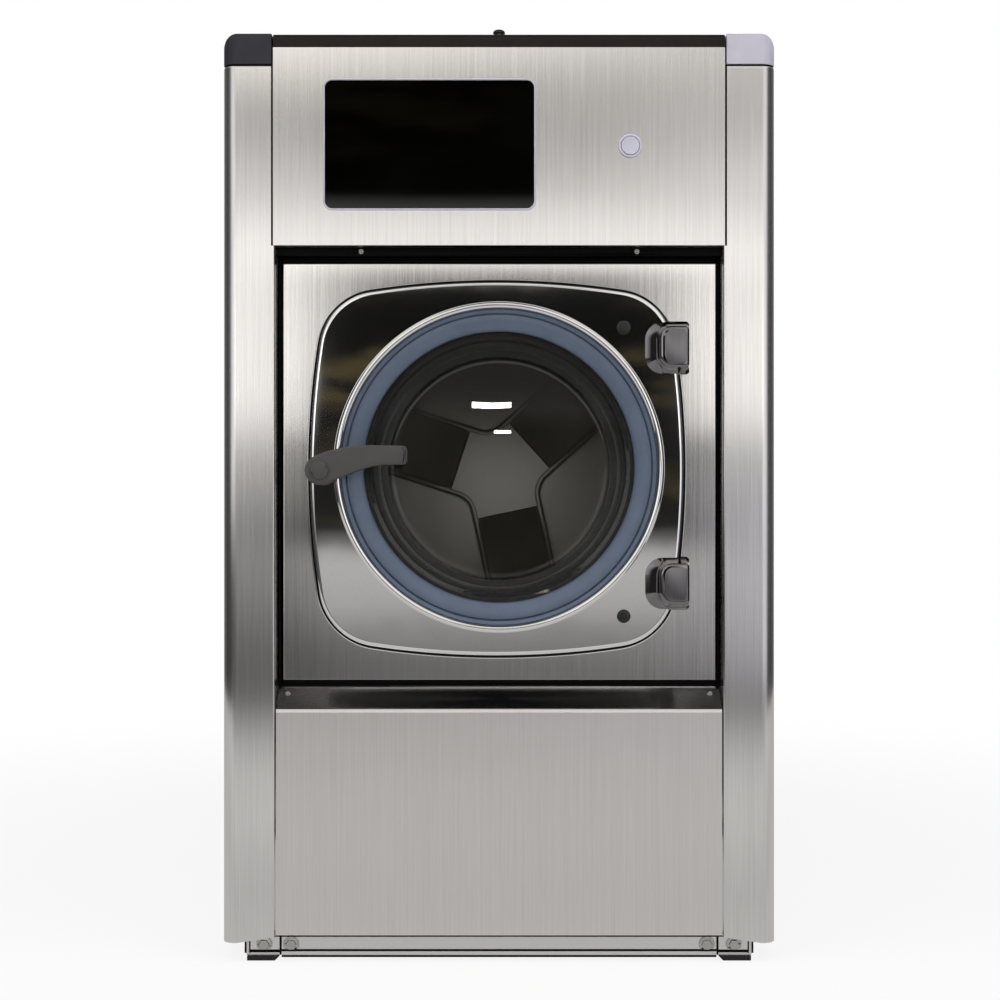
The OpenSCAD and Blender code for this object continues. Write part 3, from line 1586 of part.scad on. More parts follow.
left_column();
right_column();
left_corner_cap();
right_corner_cap();
side_panels();
top_cover();
top_trim();
control_panel();
recess_surround();
lower_panel();
rear_panel();
cross_rails();
side_rails();
corner_brackets();
base_bolts();
foot_pads();
panel_screws();
display_glass();
control_unit();
button_bezel();
start_button();
soap_hopper();
soap_lid();
lid_knob();
fill_pipe();
inlet_valves();
electrical_box();
cable_gland();
front_panel();
tub_shell();
tub_front();
door_gasket();
door_lock();
hinge_brackets();
drum();
lifters();
drum_shaft();
bearing_housing();
bearings();
drum_pulley();
drive_belt();
motor();
motor_shaft();
motor_pulley();
tub_cradle();
suspension_springs();
damper_cylinders();
damper_rods();
drain_valve();
drain_pipe();
door_plate();
door_frame();
window_ring();
glass_bowl();
hinge_pins();
hinge_inserts();
door_plugs();
lever_handle();
lever_cap();
latch_cam();
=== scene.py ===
# %% [markdown]
# # A washer-extractor, piece by piece
# The machine stands on a base frame. Its drum, its front panel and its door hang together on four springs,
# so they shake as one, while the columns and the panels round them stay still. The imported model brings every
# part at its real size and on the body it moves with. This script dresses those parts: it gives each its
# finish, and makes again, as finer surfaces, the pieces whose rims, beads and ribs the eye meets first.

# %% The frame and the measures
import json
from math import atan2, cos, pi, radians, sin, tan

import bmesh
import bpy
import numpy as np
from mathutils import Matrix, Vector

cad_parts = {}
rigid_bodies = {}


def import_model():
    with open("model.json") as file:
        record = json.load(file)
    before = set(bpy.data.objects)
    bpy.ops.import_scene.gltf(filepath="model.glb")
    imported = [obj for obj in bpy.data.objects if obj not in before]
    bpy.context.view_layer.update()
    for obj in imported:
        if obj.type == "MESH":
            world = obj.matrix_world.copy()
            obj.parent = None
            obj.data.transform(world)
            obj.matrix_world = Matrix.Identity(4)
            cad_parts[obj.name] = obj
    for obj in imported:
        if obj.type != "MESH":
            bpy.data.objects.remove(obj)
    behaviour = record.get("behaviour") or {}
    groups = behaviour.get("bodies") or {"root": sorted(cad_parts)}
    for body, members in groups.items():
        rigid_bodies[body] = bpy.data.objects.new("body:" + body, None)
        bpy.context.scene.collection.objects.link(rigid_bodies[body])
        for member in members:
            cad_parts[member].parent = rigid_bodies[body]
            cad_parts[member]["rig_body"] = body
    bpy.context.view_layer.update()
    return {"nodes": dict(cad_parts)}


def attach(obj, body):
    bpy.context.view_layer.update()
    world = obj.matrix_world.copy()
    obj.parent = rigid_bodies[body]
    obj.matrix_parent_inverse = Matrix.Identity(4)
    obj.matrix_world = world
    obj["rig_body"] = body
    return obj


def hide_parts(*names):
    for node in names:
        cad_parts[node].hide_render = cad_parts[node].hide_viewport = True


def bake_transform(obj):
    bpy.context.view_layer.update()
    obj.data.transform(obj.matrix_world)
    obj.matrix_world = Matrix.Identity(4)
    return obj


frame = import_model()

MM = 0.001
# Depths in millimetres: the column fronts, the front panel, and the back and the face of the door
FRONT, PANEL, DOOR_BACK, PLATE = -436.5, -403.5, -407.5, -445.5
# Half widths of the cabinet and of the door's recess, and the thickness of the cabinet's sheets
SIDE, RECESS, SHEET = 397.0, 321.5, 1.5
# The drum's axis runs along Y through this X and Z
AXIS = np.array([0.0, 708.5])

# %% [markdown]
# ## Surfaces as arrays
# A pressed sheet, a turned ring and a bent pipe are each one profile carried along one path. numpy works out
# all their points at once as a grid, and the faces are the squares between neighbours. Modelling by hand would
# also do, but numbers keep every piece at the size that the frame gives it.

# %% Grids of points and their faces
def grid_faces(rows, columns, wrap_rows, wrap_columns, first):
    """Squares (i, j), (i+1, j), (i+1, j+1), (i, j+1); a wrapped side joins its last line to its first."""
    i, j = np.meshgrid(np.arange(rows - (not wrap_rows)), np.arange(columns - (not wrap_columns)), indexing="ij")
    i, j = i.ravel(), j.ravel()
    below, right = (i + 1) % rows * columns, (j + 1) % columns
    return first + np.stack([i * columns + j, below + j, below + right, i * columns + right], 1)


class Skin:
    """The points in millimetres and the faces of one piece, gathered surface by surface."""

    def __init__(self):
        self.points, self.faces, self.count = [], [], 0

    def keep(self, points):
        self.points.append(points.reshape(-1, 3))
        self.count += self.points[-1].shape[0]
        return self

    def grid(self, points, wrap_rows=False, wrap_columns=False):
        rows, columns, _ = points.shape
        self.faces += grid_faces(rows, columns, wrap_rows, wrap_columns, self.count).tolist()
        return self.keep(points)

    def cap(self, ring):
        """One flat face over a closed ring of points."""
        self.faces.append(list(range(self.count, self.count + len(ring))))
        return self.keep(ring)

    def pile(self, rings):
        """Closed rings joined to each other, with a flat face over the first and the last."""
        return self.grid(rings, wrap_columns=True).cap(rings[0]).cap(rings[-1])

    def sheet(self, outer, inner):
        """Two grids that are the faces of one sheet, joined along all four edges."""
        self.grid(np.hstack([outer, inner[:, ::-1]]), wrap_columns=True)
        for end in (0, -1):
            self.grid(np.stack([outer[end], inner[end]]))
        return self

    def block(self, low, high):
        """Eight corners of a box and its six faces."""
        corners = np.indices((2, 2, 2)).reshape(3, 8).T
        faces = np.array([(0, 1, 3, 2), (4, 6, 7, 5), (0, 4, 5, 1), (2, 3, 7, 6), (0, 2, 6, 4), (1, 5, 7, 3)])
        self.faces += (faces + self.count).tolist()
        return self.keep(corners * (np.array(high) - np.array(low)) + np.array(low))

    def mesh(self, name):
        mesh = bpy.data.meshes.new(name)
        mesh.from_pydata((np.vstack(self.points) * MM).tolist(), [], self.faces)
        return mesh


print("faces between 3 by 4 points:", len(grid_faces(3, 4, False, False, 0)))


# %% From a mesh to a piece
def face_outwards(shape):
    bmesh.ops.recalc_face_normals(shape, faces=shape.faces)


def settle(mesh, sharp=38.0, mend=face_outwards):
    """Merges the points that meet, mends the merged shape and smooths all edges below the sharp angle."""
    shape = bmesh.new()
    shape.from_mesh(mesh)
    bmesh.ops.remove_doubles(shape, verts=shape.verts, dist=2e-6)
    mend(shape)
    shape.to_mesh(mesh)
    shape.free()
    mesh.shade_smooth()
    mesh.set_sharp_from_angle(angle=radians(sharp))
    return mesh


def link(name, data):
    """An object at the origin that shows a mesh, a lamp or a camera."""
    obj = bpy.data.objects.new(name, data)
    bpy.context.scene.collection.objects.link(obj)
    return obj


def dress(name, mesh, finish_name):
    """A linked mesh in one finish."""
    mesh.materials.clear()
    mesh.materials.append(finishes[finish_name])
    return link(name, mesh)


def enter(name, mesh, body, slot, instead_of=None, look=None):
    """A piece on its body, in the finish of its slot or of a look of its own; the CAD node it stands for is
    hidden.
    """
    obj = dress(name, mesh, look or slot)
    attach(obj, body)
    if instead_of:
        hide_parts(instead_of)
    print(f"{name}: {len(mesh.polygons)} faces")
    return obj


def make(name, skin, body, slot, instead_of=None, sharp=38.0, look=None):
    """A piece from gathered surfaces."""
    return enter(name, settle(skin.mesh(name), sharp), body, slot, instead_of, look)


# %% [markdown]
# ## Shader sums as plain expressions
# A finish is a sum: a colour, plus streaks, less some wear. Math nodes can be wired by hand, but a wrapper that
# lets a socket be added and multiplied like a number keeps each finish readable on a few lines.

# %% A socket that behaves like a number
class Wire:
    """One shader socket; sums on it add Math nodes."""

    def __init__(self, recipe, socket):
        self.recipe, self.socket = recipe, socket

    def __add__(self, other):
        return self.recipe.math("ADD", self, other)

    def __sub__(self, other):
        return self.recipe.math("SUBTRACT", self, other)

    def __rsub__(self, other):
        return self.recipe.math("SUBTRACT", other, self)

    def __mul__(self, other):
        return self.recipe.math("MULTIPLY", self, other)

    def __truediv__(self, other):
        return self.recipe.math("DIVIDE", self, other)

    __radd__ = __add__
    __rmul__ = __mul__

    def between(self, low, high):
        """0 below low, 1 above high and a smooth rise between."""
        return self.recipe.node("MapRange", {"interpolation_type": "SMOOTHSTEP"},
                                {0: self, 1: low, 2: high, 3: 0.0, 4: 1.0})

    def band(self, rise, fall):
        """A smooth rise from 0 to 1 over one span and back to 0 over another."""
        return self.between(*rise) * (1.0 - self.between(*fall))


# %% A recipe of nodes
class Recipe:
    """The nodes of one material, or of the world, in one coordinate space; a colour is three numbers."""

    def __init__(self, tree, space):
        self.tree = tree
        tree.nodes.clear()
        self.place = self.node("TexCoord", out=space)

    def node(self, kind, settings=None, values=None, out=0):
        """Any node: its settings first, then the values or links of its sockets; gives one of its outputs."""
        made = self.tree.nodes.new("ShaderNode" + kind)
        for key, value in (settings or {}).items():
            if key == "stops":
                self.set_stops(made.color_ramp, value)
            else:
                setattr(made, key, value)
        for key, value in (values or {}).items():
            socket = made.inputs[key]
            if isinstance(value, Wire):
                self.tree.links.new(value.socket, socket)
            else:
                socket.default_value = (*value, 1.0) if socket.type == "RGBA" else value
        return Wire(self, made.outputs[out]) if len(made.outputs) else None

    @staticmethod
    def set_stops(ramp, stops):
        """Stops of a place and a colour, in place of the ramp's own two."""
        ramp.elements.remove(ramp.elements[-1])
        ramp.elements[0].position, ramp.elements[0].color = stops[0][0], (*stops[0][1], 1.0)
        for position, colour in stops[1:]:
            ramp.elements.new(position).color = (*colour, 1.0)

    def outputs(self, kind, names, values=None):
        """Several outputs of one node."""
        made = self.node(kind, None, values).socket.node
        return [Wire(self, made.outputs[name]) for name in names]

    def axes(self):
        """The three coordinates."""
        return self.outputs("SeparateXYZ", "XYZ", {0: self.place})

    def math(self, operation, *values):
        return self.node("Math", {"operation": operation}, dict(enumerate(values)))

    def mix(self, factor, a, b):
        """A colour between a and b."""
        return self.node("Mix", {"data_type": "RGBA"}, {0: factor, 6: a, 7: b}, 2)

    def blend(self, factor, a, b):
        """A shader between a and b."""
        return self.node("MixShader", None, {0: factor, 1: a, 2: b})

    def noise(self, stretch, scale=1.0, detail=3.0, roughness=0.55):
        """Cloudy noise whose pattern is squeezed by stretch along X, Y and Z."""
        at = self.node("Mapping", None, {"Vector": self.place, "Scale": stretch})
        return self.node("TexNoise", None, {"Vector": at, "Scale": scale, "Detail": detail,
                                            "Roughness": roughness})

    def bump(self, height, depth):
        """A normal from a height of 0 to 1 that stands for a depth in metres."""
        return self.node("Bump", None, {"Height": height, "Distance": depth, "Strength": 1.0})

    def principled(self, **sockets):
        return self.node("BsdfPrincipled", None, {key.replace("_", " "): v for key, v in sockets.items()})

    def show(self, shader):
        self.node("OutputMaterial", None, {0: shader})


finishes = {}


def finish(slot):
    """An empty recipe for the finish of one slot, in Object coordinates."""
    finishes[slot] = bpy.data.materials.new(slot + "_finish")
    finishes[slot].use_nodes = True
    return Recipe(finishes[slot].node_tree, "Object")


def rgb(r, g, b):
    """A colour written as the eye sees it, 0 to 255, made linear for the shader."""
    c = np.array([r, g, b]) / 255
    return tuple(np.where(c <= 0.04045, c / 12.92, ((c + 0.055) / 1.055) ** 2.4).tolist())


def shade(colour, share):
    """A colour made darker or paler by a share, up to white."""
    return tuple(min(1.0, c * share) for c in colour)


# %% [markdown]
# ## Brushed stainless
# Belts of grit leave fine upright scratches in the sheet. A scratched metal mirrors sharply along the scratch and
# smears across it, so the finish has a strong anisotropy, and streaks in its roughness and colour that run up and
# down. Hand polish leaves soft cloudy patches, which noise in the roughness gives.

# %% Brushed sheets
# The ledge over the lower panel is buffed smoother; its finish changes over these spans of height in metres
LEDGE_FOOT, LEDGE_TOP = (0.3580, 0.3600), (0.3925, 0.3940)
SCRATCH = 0.00002


def brushed(slot, tint, rough=0.20, grain=1.0, cloud=0.04, anisotropic=1.0, buffed=0.0):
    """Upright streaks: noise squeezed hard along X and Y and drawn out along Z, in colour, roughness and height.
    A buffed share of the roughness goes between the heights of the ledge."""
    r = finish(slot)
    fine, broad = r.noise((1500, 1500, 9), detail=2.0), r.noise((380, 380, 2.5), detail=3.0)
    patch = r.noise((6, 6, 4), detail=4.0)
    tone = fine * 0.6 + broad * 0.4
    roughness = rough + (tone - 0.5) * 0.05 * grain + (patch - 0.5) * cloud
    if buffed:
        roughness = roughness * (1.0 - r.axes()[2].band(LEDGE_FOOT, LEDGE_TOP) * buffed)
    colour = r.mix(tone.between(0.3, 0.7), shade(tint, 1 - 0.09 * grain), shade(tint, 1.03))
    r.show(r.principled(Base_Color=colour, Metallic=1.0, Roughness=roughness, Anisotropic=anisotropic,
                        Normal=r.bump(tone, SCRATCH * grain)))


STEEL = (0.80, 0.785, 0.77)
brushed("column_steel", STEEL, rough=0.17)
brushed("panel_steel", STEEL, rough=0.18, cloud=0.05)
brushed("front_panel_steel", STEEL, rough=0.09, cloud=0.02)
brushed("lower_panel_steel", (0.82, 0.79, 0.775), rough=0.36, grain=0.8, cloud=0.05, anisotropic=0.7, buffed=0.55)
brushed("side_steel", (0.74, 0.735, 0.73), rough=0.32, anisotropic=0.9)
brushed("tub_steel", (0.66, 0.66, 0.66), rough=0.38, grain=0.6, anisotropic=0.6)
brushed("drum_steel", (0.60, 0.60, 0.57), rough=0.42, grain=0.4, anisotropic=0.2)
brushed("insert_grey", (0.22, 0.213, 0.22), rough=0.30, grain=1.6, anisotropic=0.9)
print("brushed finishes:", list(finishes))

# %% [markdown]
# ## Polished and plated metal, plastic and paint
# The door is buffed until it mirrors the room. A mirror of thin sheet is never quite flat, so a slow wave in its
# normal bends what it shows. Zinc and bright steel get the same recipe with more roughness and a finer mottle.
# Mouldings, rubber, castings and paint share another recipe, because all of them have a fine grain.

# %% Mirrors, zinc and castings
def polished(slot, tint, rough, mottle, wave=0.00005):
    """Slow waves in the height and a faint mottle in the roughness."""
    r = finish(slot)
    slow = r.noise((9, 9, 9), detail=2.0, roughness=0.4)
    fine = r.noise((260, 260, 260), detail=3.0)
    r.show(r.principled(Base_Color=r.mix(fine, shade(tint, 0.94), tint), Metallic=1.0,
                        Roughness=rough + fine * mottle, Normal=r.bump(slow, wave)))


def grainy(slot, colour, rough=0.5, speck=900.0, depth=0.00004, metallic=0.0, coat=0.0, vary=0.12, shine=0.5):
    """Moulded, painted or cast skin: fine specks in the height, cloudy change in colour and roughness."""
    r = finish(slot)
    cloud = r.noise((30, 30, 30), detail=4.0)
    specks = r.noise((speck, speck, speck), detail=2.0, roughness=0.7)
    r.show(r.principled(
        Base_Color=r.mix(cloud.between(0.3, 0.7), shade(colour, 1 - vary), shade(colour, 1 + vary)),
        Metallic=metallic, Roughness=rough + (cloud - 0.5) * 0.16 + (specks - 0.5) * 0.1,
        Coat_Weight=coat, Coat_Roughness=0.25, Specular_IOR_Level=shine, Normal=r.bump(specks, depth)))


polished("door_chrome", (0.90, 0.895, 0.89), rough=0.03, mottle=0.004, wave=0.00012)
# painted shade: the hinge covers take a darker copy of the door's chrome, so they mirror darker than the plate
polished("cover_chrome", (0.24, 0.225, 0.235), rough=0.06, mottle=0.01, wave=0.00012)
polished("shaft_steel", (0.70, 0.70, 0.71), rough=0.20, mottle=0.10)
polished("fastener_steel", (0.50, 0.49, 0.47), rough=0.16, mottle=0.14)
polished("base_steel", (0.74, 0.73, 0.72), rough=0.34, mottle=0.12, wave=0.0001)
grainy("cap_charcoal", rgb(40, 39, 44), rough=0.55, shine=0.3)
grainy("cap_lilac", rgb(172, 169, 180), rough=0.5, vary=0.03, shine=0.3)
grainy("button_lilac", rgb(176, 174, 186), rough=0.38, depth=0.00001, vary=0.02, shine=0.3)
grainy("trim_black", rgb(22, 18, 16), rough=0.32, depth=0.00002, shine=0.2)
grainy("black_strip", rgb(5, 5, 6), rough=0.35, depth=0.00002, shine=0.06)
grainy("black_plastic", rgb(13, 14, 16), rough=0.3, depth=0.00001, shine=0.5)
grainy("hopper_plastic", rgb(196, 198, 200), rough=0.45, vary=0.04)
grainy("valve_plastic", rgb(214, 214, 206), rough=0.45, vary=0.05)
grainy("ring_blue_grey", rgb(80, 90, 106), rough=0.36, depth=0.00002, vary=0.06, shine=0.35)
grainy("lever_grey", rgb(66, 64, 63), rough=0.55, speck=1400.0, vary=0.05, shine=0.3)
grainy("foot_rubber", rgb(20, 20, 20), rough=0.75, speck=500.0, depth=0.0001)
grainy("gasket_rubber", rgb(58, 59, 62), rough=0.55, speck=700.0, depth=0.00006)
grainy("belt_rubber", rgb(28, 28, 28), rough=0.7, speck=600.0, depth=0.0001)
grainy("cast_grey", rgb(128, 130, 132), rough=0.55, speck=350.0, depth=0.00025, metallic=0.7)
grainy("door_dark", rgb(9, 9, 10), rough=0.5, speck=400.0, depth=0.0001, shine=0.08)
grainy("motor_grey", rgb(96, 104, 112), rough=0.4, speck=300.0, depth=0.0001, coat=0.3)
grainy("cradle_paint", rgb(74, 78, 84), rough=0.45, speck=220.0, depth=0.00015, coat=0.2)
grainy("box_grey", rgb(160, 163, 166), rough=0.42, speck=260.0, depth=0.0001, coat=0.2, vary=0.04)
grainy("spring_steel", rgb(58, 61, 66), rough=0.38, speck=500.0, depth=0.00006, metallic=0.6)
print("finishes:", len(finishes))

# %% [markdown]
# ## Glass
# The bowl is pressed glass a few millimetres thick. Cycles could bend the light through both faces, but a thin
# tinted shell with a mirror that grows towards the edge by Fresnel is clean and quick, and survives an export.
# The display is printed black behind smooth glass: near-black plastic with hardly any roughness.

# %% The bowl and the display
def bowl_glass():
    """A see-through shell mixed with a smooth mirror by Fresnel. By height, its see-through tint darkens towards
    its top, as painted shade. By depth, its flank is hazy with fine rings, partly a film and partly painted
    reflection, and its bend takes more mirror, as a painted highlight."""
    r = finish("bowl_glass")
    _, depth, height = r.axes()
    flank = 1.0 - depth.between(-0.326, -0.312)
    bend = depth.band((-0.318, -0.310), (-0.301, -0.298))
    rings = r.noise((0.4, 420, 0.4), detail=2.0)
    ripple = r.bump(r.noise((14, 14, 14), detail=1.0), 0.00003)
    # painted shade: the see-through tint turns darker over the top of the bowl, standing in for the drum's shaded
    # top
    pale, shaded_top = [r.node("BsdfTransparent", None, {0: tint})
                    for tint in ((0.93, 0.93, 0.925), (0.40, 0.37, 0.34))]
    clear = r.blend(height.between(0.775, 0.850), pale, shaded_top)
    # partly a film on the glass and partly painted reflection: a dull grey with fine rings over the flank
    film_and_reflection = r.principled(Base_Color=r.mix(rings.between(0.35, 0.65), (0.018, 0.017, 0.017), (0.055, 0.052, 0.052)),
                        Roughness=0.35, Specular_IOR_Level=0.5)
    mirror = r.principled(Base_Color=(0.9, 0.92, 0.92), Metallic=1.0, Roughness=0.0, Normal=ripple)
    fresnel = r.node("Fresnel", None, {"IOR": 1.5, "Normal": ripple})
    # painted highlight: the bend takes a larger share of mirror than the rest of the glass
    r.show(r.blend(fresnel + bend * 0.28, r.blend(flank * 0.42, clear, film_and_reflection), mirror))


def display_glass():
    """Near black with a very faint olive cloud."""
    r = finish("display_black")
    cloud = r.noise((5, 5, 8), detail=2.0)
    r.show(r.principled(Base_Color=r.mix(cloud.between(0.35, 0.75), rgb(1, 1, 1), rgb(6, 6, 4)),
                        Roughness=0.02 + cloud * 0.01, Specular_IOR_Level=0.5))


bowl_glass()
display_glass()
print("finishes with glass:", len(finishes))

# %% [markdown]
# ## Carried-over parts
# A part that the solids already show well keeps its mesh and takes its finish. A few that stand in plain view get
# a merged copy whose edges are rounded by a bevel, because no real sheet or moulding ends in a perfect edge, and
# it is the small radius that catches the light.

# %% Finishes on every node
for node_object in frame["nodes"].values():
    for material_slot in node_object.material_slots:
        material_slot.material = finishes[material_slot.material.name.split(".")[0]]
print("nodes with a finish:", len(frame["nodes"]))


# %% Copies with rounded edges
def round_edges(obj, width, steps=2, by_weight=False):
    """A live bevel of a width in millimetres on the sharp edges, with normals that keep the flats flat."""
    bevel = obj.modifiers.new("edge", "BEVEL")
    bevel.width = width * MM
    bevel.segments = steps
    bevel.limit_method = "WEIGHT" if by_weight else "ANGLE"
    bevel.angle_limit = radians(28)
    bevel.use_clamp_overlap = False
    bevel.harden_normals = True
    return obj


def softened(node, width=0.0, weigh=None, steps=2, sharp=38.0, look=None):
    """A merged copy of a node: flats joined, sharp edges rounded; weigh picks edges by their ends."""

    def join_flats(shape):
        bmesh.ops.dissolve_limit(shape, angle_limit=radians(0.8), verts=shape.verts, edges=shape.edges)
        if weigh:
            layer = shape.edges.layers.float.new("bevel_weight_edge")
            for e in shape.edges:
                ends = np.array([v.co for v in e.verts]) / MM
                e[layer] = float(len(e.link_faces) == 2 and e.calc_face_angle() > 0.5 and weigh(ends))

    source = frame["nodes"][node]
    mesh = settle(source.data.copy(), sharp, join_flats)
    slot = source.material_slots[0].material.name.removesuffix("_finish")
    obj = enter(node + "_finish", mesh, source["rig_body"], slot, node, look)
    return round_edges(obj, width, steps, bool(weigh)) if width else obj


def panel_rim(ends):
    """True for an edge of the front panel's face that runs along its sides, its foot or its top."""
    x, z = abs(ends[:, 0]), ends[:, 2]
    return (ends[:, 1] < PANEL + 0.1).all() and ((x > 315.0).all() or (z < 400.1).all() or (z > 1006.9).all())


for name, width in (("left_corner_cap", 1.0), ("right_corner_cap", 1.0), ("control_panel", 0.6), ("top_trim", 0.8),
                    ("side_panels", 0.6), ("recess_surround", 0.8), ("cross_rails", 0.7), ("corner_brackets", 0.6),
                    ("foot_pads", 0.8), ("soap_lid", 0.5), ("base_bolts", 0.8)):
    softened(name, width)
softened("drum", sharp=8.0)
softened("front_panel", 3.0, panel_rim, steps=4, look="front_panel_steel")
# A lifter is rounded where it stands away from the drum's wall
softened("lifters", 5.0, lambda ends: np.linalg.norm(ends[:, [0, 2]] - AXIS, axis=1).max() < 323, steps=3)

# %% [markdown]
# ## Columns
# Each column is one sheet, folded round the door opening and rolled at the outer corner. Its top edge is drawn in
# under the moulded cap, which makes the bright line there. The section is a path in X and Y with its normals: the
# inner wall is the same path moved inwards by the sheet's thickness, and the two are carried up in Z.

# %% Columns
CAP_Z = 1286.3  # underside of the corner caps
ROLL, FOLD = 20, 2.5  # radii of the outer corner and of the fold at the recess


def arc(middle, radius, start, end, steps):
    """Points at middle + radius (cos a, sin a), with a from start to end in degrees."""
    a = np.radians(np.linspace(start, end, steps + 1))
    return np.array(middle) + radius * np.stack([np.cos(a), np.sin(a)], 1)


def column_section(inset, side, z):
    """Fold, front, rolled corner and side of a column at a height, moved inwards by inset. A bend's first and last
    points have neighbours close by on the flats, so its soft shading ends there. The foot is stepped."""
    fold = arc((RECESS + FOLD, FRONT + FOLD), FOLD - inset, 180, 270, 6)
    roll = arc((SIDE - ROLL, FRONT + ROLL), ROLL - inset, 270, 360, 24)
    x, y = np.vstack([[[RECESS + inset, -380.5]], [fold[0] + (0, 0.4)], fold, [fold[-1] + (0.4, 0)],
                           [roll[0] - (0.4, 0)], roll, [roll[-1] + (0, 0.4)], [[SIDE - inset, -356.5]]]).T
    foot = np.where(x < SIDE - 32.9, 34.5, 26.5)
    return np.stack([side * x, y, np.maximum(z, foot)], 1)


def column(name, side):
    """Outer and inner wall at each height. Under the cap the outer wall draws in over a quarter of an ellipse."""
    neck = [(CAP_Z - 5.0 + 2.6 * sin(a), 1.4 * (1 - cos(a))) for a in np.linspace(0, pi / 2, 6)]
    heights = [(0, 0.0), (CAP_Z - 5.6, 0.0), (CAP_Z - 5.0, 0.0), *neck]
    outer = np.array([column_section(draw, side, z) for z, draw in heights])
    inner = np.array([column_section(SHEET, side, z) for z, _ in heights])
    return make(name + "_sheet", Skin().sheet(outer, inner), "cabinet", "column_steel", name, sharp=30)


column("left_column", -1)
column("right_column", 1)


# %% Painted shade lines of the columns
def column_shade_lines():
    """Painted shade: black lines under each cap, drawn in by 1 mm, and between each column and the control panel.
    """
    panel_side, panel_foot = 324.0, 1026.0
    skin = Skin()
    for side in (-1, 1):
        # painted shade: black sheets put in the gaps under the caps and beside the control panel, where there is
        # only shadow
        skin.sheet(*[np.array([column_section(inset, side, z) for z in (CAP_Z - 4.5, CAP_Z)])
                     for inset in (1.0, 3.0)])
        skin.block((side * (panel_side + 0.1), FRONT - 0.25, panel_foot),
                   (side * (panel_side + 2.7), FRONT + 0.2, CAP_Z - 2.0))
    return make("column_shade_lines", skin, "cabinet", "black_strip", sharp=30)


column_shade_lines()

# %% [markdown]
# ## Lower panel and its ledge
# One sheet rises from the floor, bends back over a small radius and slopes up under the door. The profile in Y and
# Z is carried straight across in X, and both edges get a small bevel.

# %% Lower panel
# Height of the ledge at its back, its depth and its slope, and the radius of the bend
LEDGE_Z, LEDGE_DEPTH, BEND = 391, 35, 8.5
SLOPE = atan2(31, LEDGE_DEPTH)


def lower_panel():
    """Front, bend and ledge as one open line, and the same line a sheet's thickness behind it."""
    turn = (FRONT + BEND, LEDGE_Z - BEND / cos(SLOPE) - (LEDGE_DEPTH - BEND) * tan(SLOPE))
    up = 0.5 * np.array([cos(SLOPE), sin(SLOPE)])
    walls = []
    for inset in (0, SHEET):
        bend = arc(turn, BEND - inset, 180, 90 + np.degrees(SLOPE), 16)
        line = np.vstack([[[FRONT + inset, 37.5]], [bend[0] - (0, 0.5)], bend, [bend[-1] + up],
                               [[FRONT + LEDGE_DEPTH, LEDGE_Z - inset / cos(SLOPE)]]])
        walls.append(np.array([np.column_stack([np.full(len(line), x), line]) for x in (-319.8, 319.8)]))
    skin = Skin().sheet(*walls)
    return round_edges(make("lower_panel_sheet", skin, "cabinet", "panel_steel", "lower_panel", 30,
                            "lower_panel_steel"), 0.5)


lower_panel()

# %% [markdown]
# ## Lines of shadow in the base
# The base plates stand a few millimetres apart and what shows between them is unlit. Black strips of painted
# shadow lie in those gaps. Each is a plain bar between two corners.

# %% Painted shadow strips in the gaps of the base
def base_shadow_strips():
    """Painted shadow bars from their X, Z and depth behind the rail's face: two across the base, four on each
    side.
    """
    skin = Skin()
    rail_y = FRONT + 5
    # painted shadow: black bars in the groove and under the lip of the cross rail, and beside each bracket
    skin.block((-312.0, rail_y + 1.6, 13.9), (312.0, rail_y + 2.4, 16.6))
    skin.block((-312.0, rail_y - 1.6, 5.6), (312.0, rail_y + 10, 8.4))
    for side in (-1, 1):
        for x0, x1, z0, z1, y in ((357.0, 359.0, 11.1, 34.3, 1.0), (312.3, 315.0, 8.6, 34.3, 0.5),
                                  (363.0, 366.0, 10.0, 27.0, 4.5), (315.2, 356.8, 11.1, 16.0, 3.4)):
            skin.block((side * x0, rail_y + y, z0), (side * x1, rail_y + y + 0.6, z1))
    return make("base_shadow_strips", skin, "cabinet", "black_strip", sharp=30)


base_shadow_strips()

# %% [markdown]
# ## Ribbed seals
# The door panel shakes inside the columns, so soft ribbed strips close the gap on both sides. A strip is a shallow
# arch across, and its height swells and sinks along Z, which makes the ribs. Two black bars behind the gaps under
# and over the panel are painted shadow.

# %% Seal strips and painted shadow bars
def seals_and_shadow_bars():
    """Depth = arch across the strip times (0.62 + 0.38 |sin|) of the height, a rib every 6 mm, on both sides.
    Two black bars behind the gaps under and over the panel are painted shadow.
    """
    skin = Skin()
    z, across = np.meshgrid(np.linspace(394.0, 1013.8, 620), np.linspace(0, 1, 9), indexing="ij")
    arch = 4.2 * (0.62 + 0.38 * np.abs(np.sin(pi * z / 6.0))) * np.sin(pi * across) ** 0.6
    for side in (-1, 1):
        x = side * (315.9 + 5.4 * across)
        skin.sheet(np.stack([x, PANEL + 1.5 - arch, z], -1), np.stack([x, np.full_like(x, PANEL + 1.6), z], -1))
    # painted shadow: black bars behind the gaps under and over the front panel, where there is only shade
    for low, high in ((391.2, 412.0), (998.0, 1016.0)):
        skin.block((-315.5, PANEL + 7, low), (315.5, PANEL + 8.5, high))
    return make("seals_and_shadow_bars", skin, "cabinet", "black_strip", sharp=60)


seals_and_shadow_bars()

# %% [markdown]
# ## Display and start button
# A thin pale lip holds the display glass. The button sits in a turned bezel with a hair of shadow round it, and
# its face is a shallow dish that a fingertip finds without looking.

# %% Display lip
def rounded(x0, x1, z0, z1, radii, steps=10):
    """A rectangle whose four corners are quarter circles, from the lower right corner anticlockwise."""
    corners = [(x1, z0, -1, 1, -90), (x1, z1, -1, -1, 0), (x0, z1, 1, -1, 90), (x0, z0, 1, 1, 180)]
    return np.vstack([arc((x + sx * r, z + sz * r), r, a, a + 90, steps)
                           for (x, z, sx, sz, a), r in zip(corners, radii)])


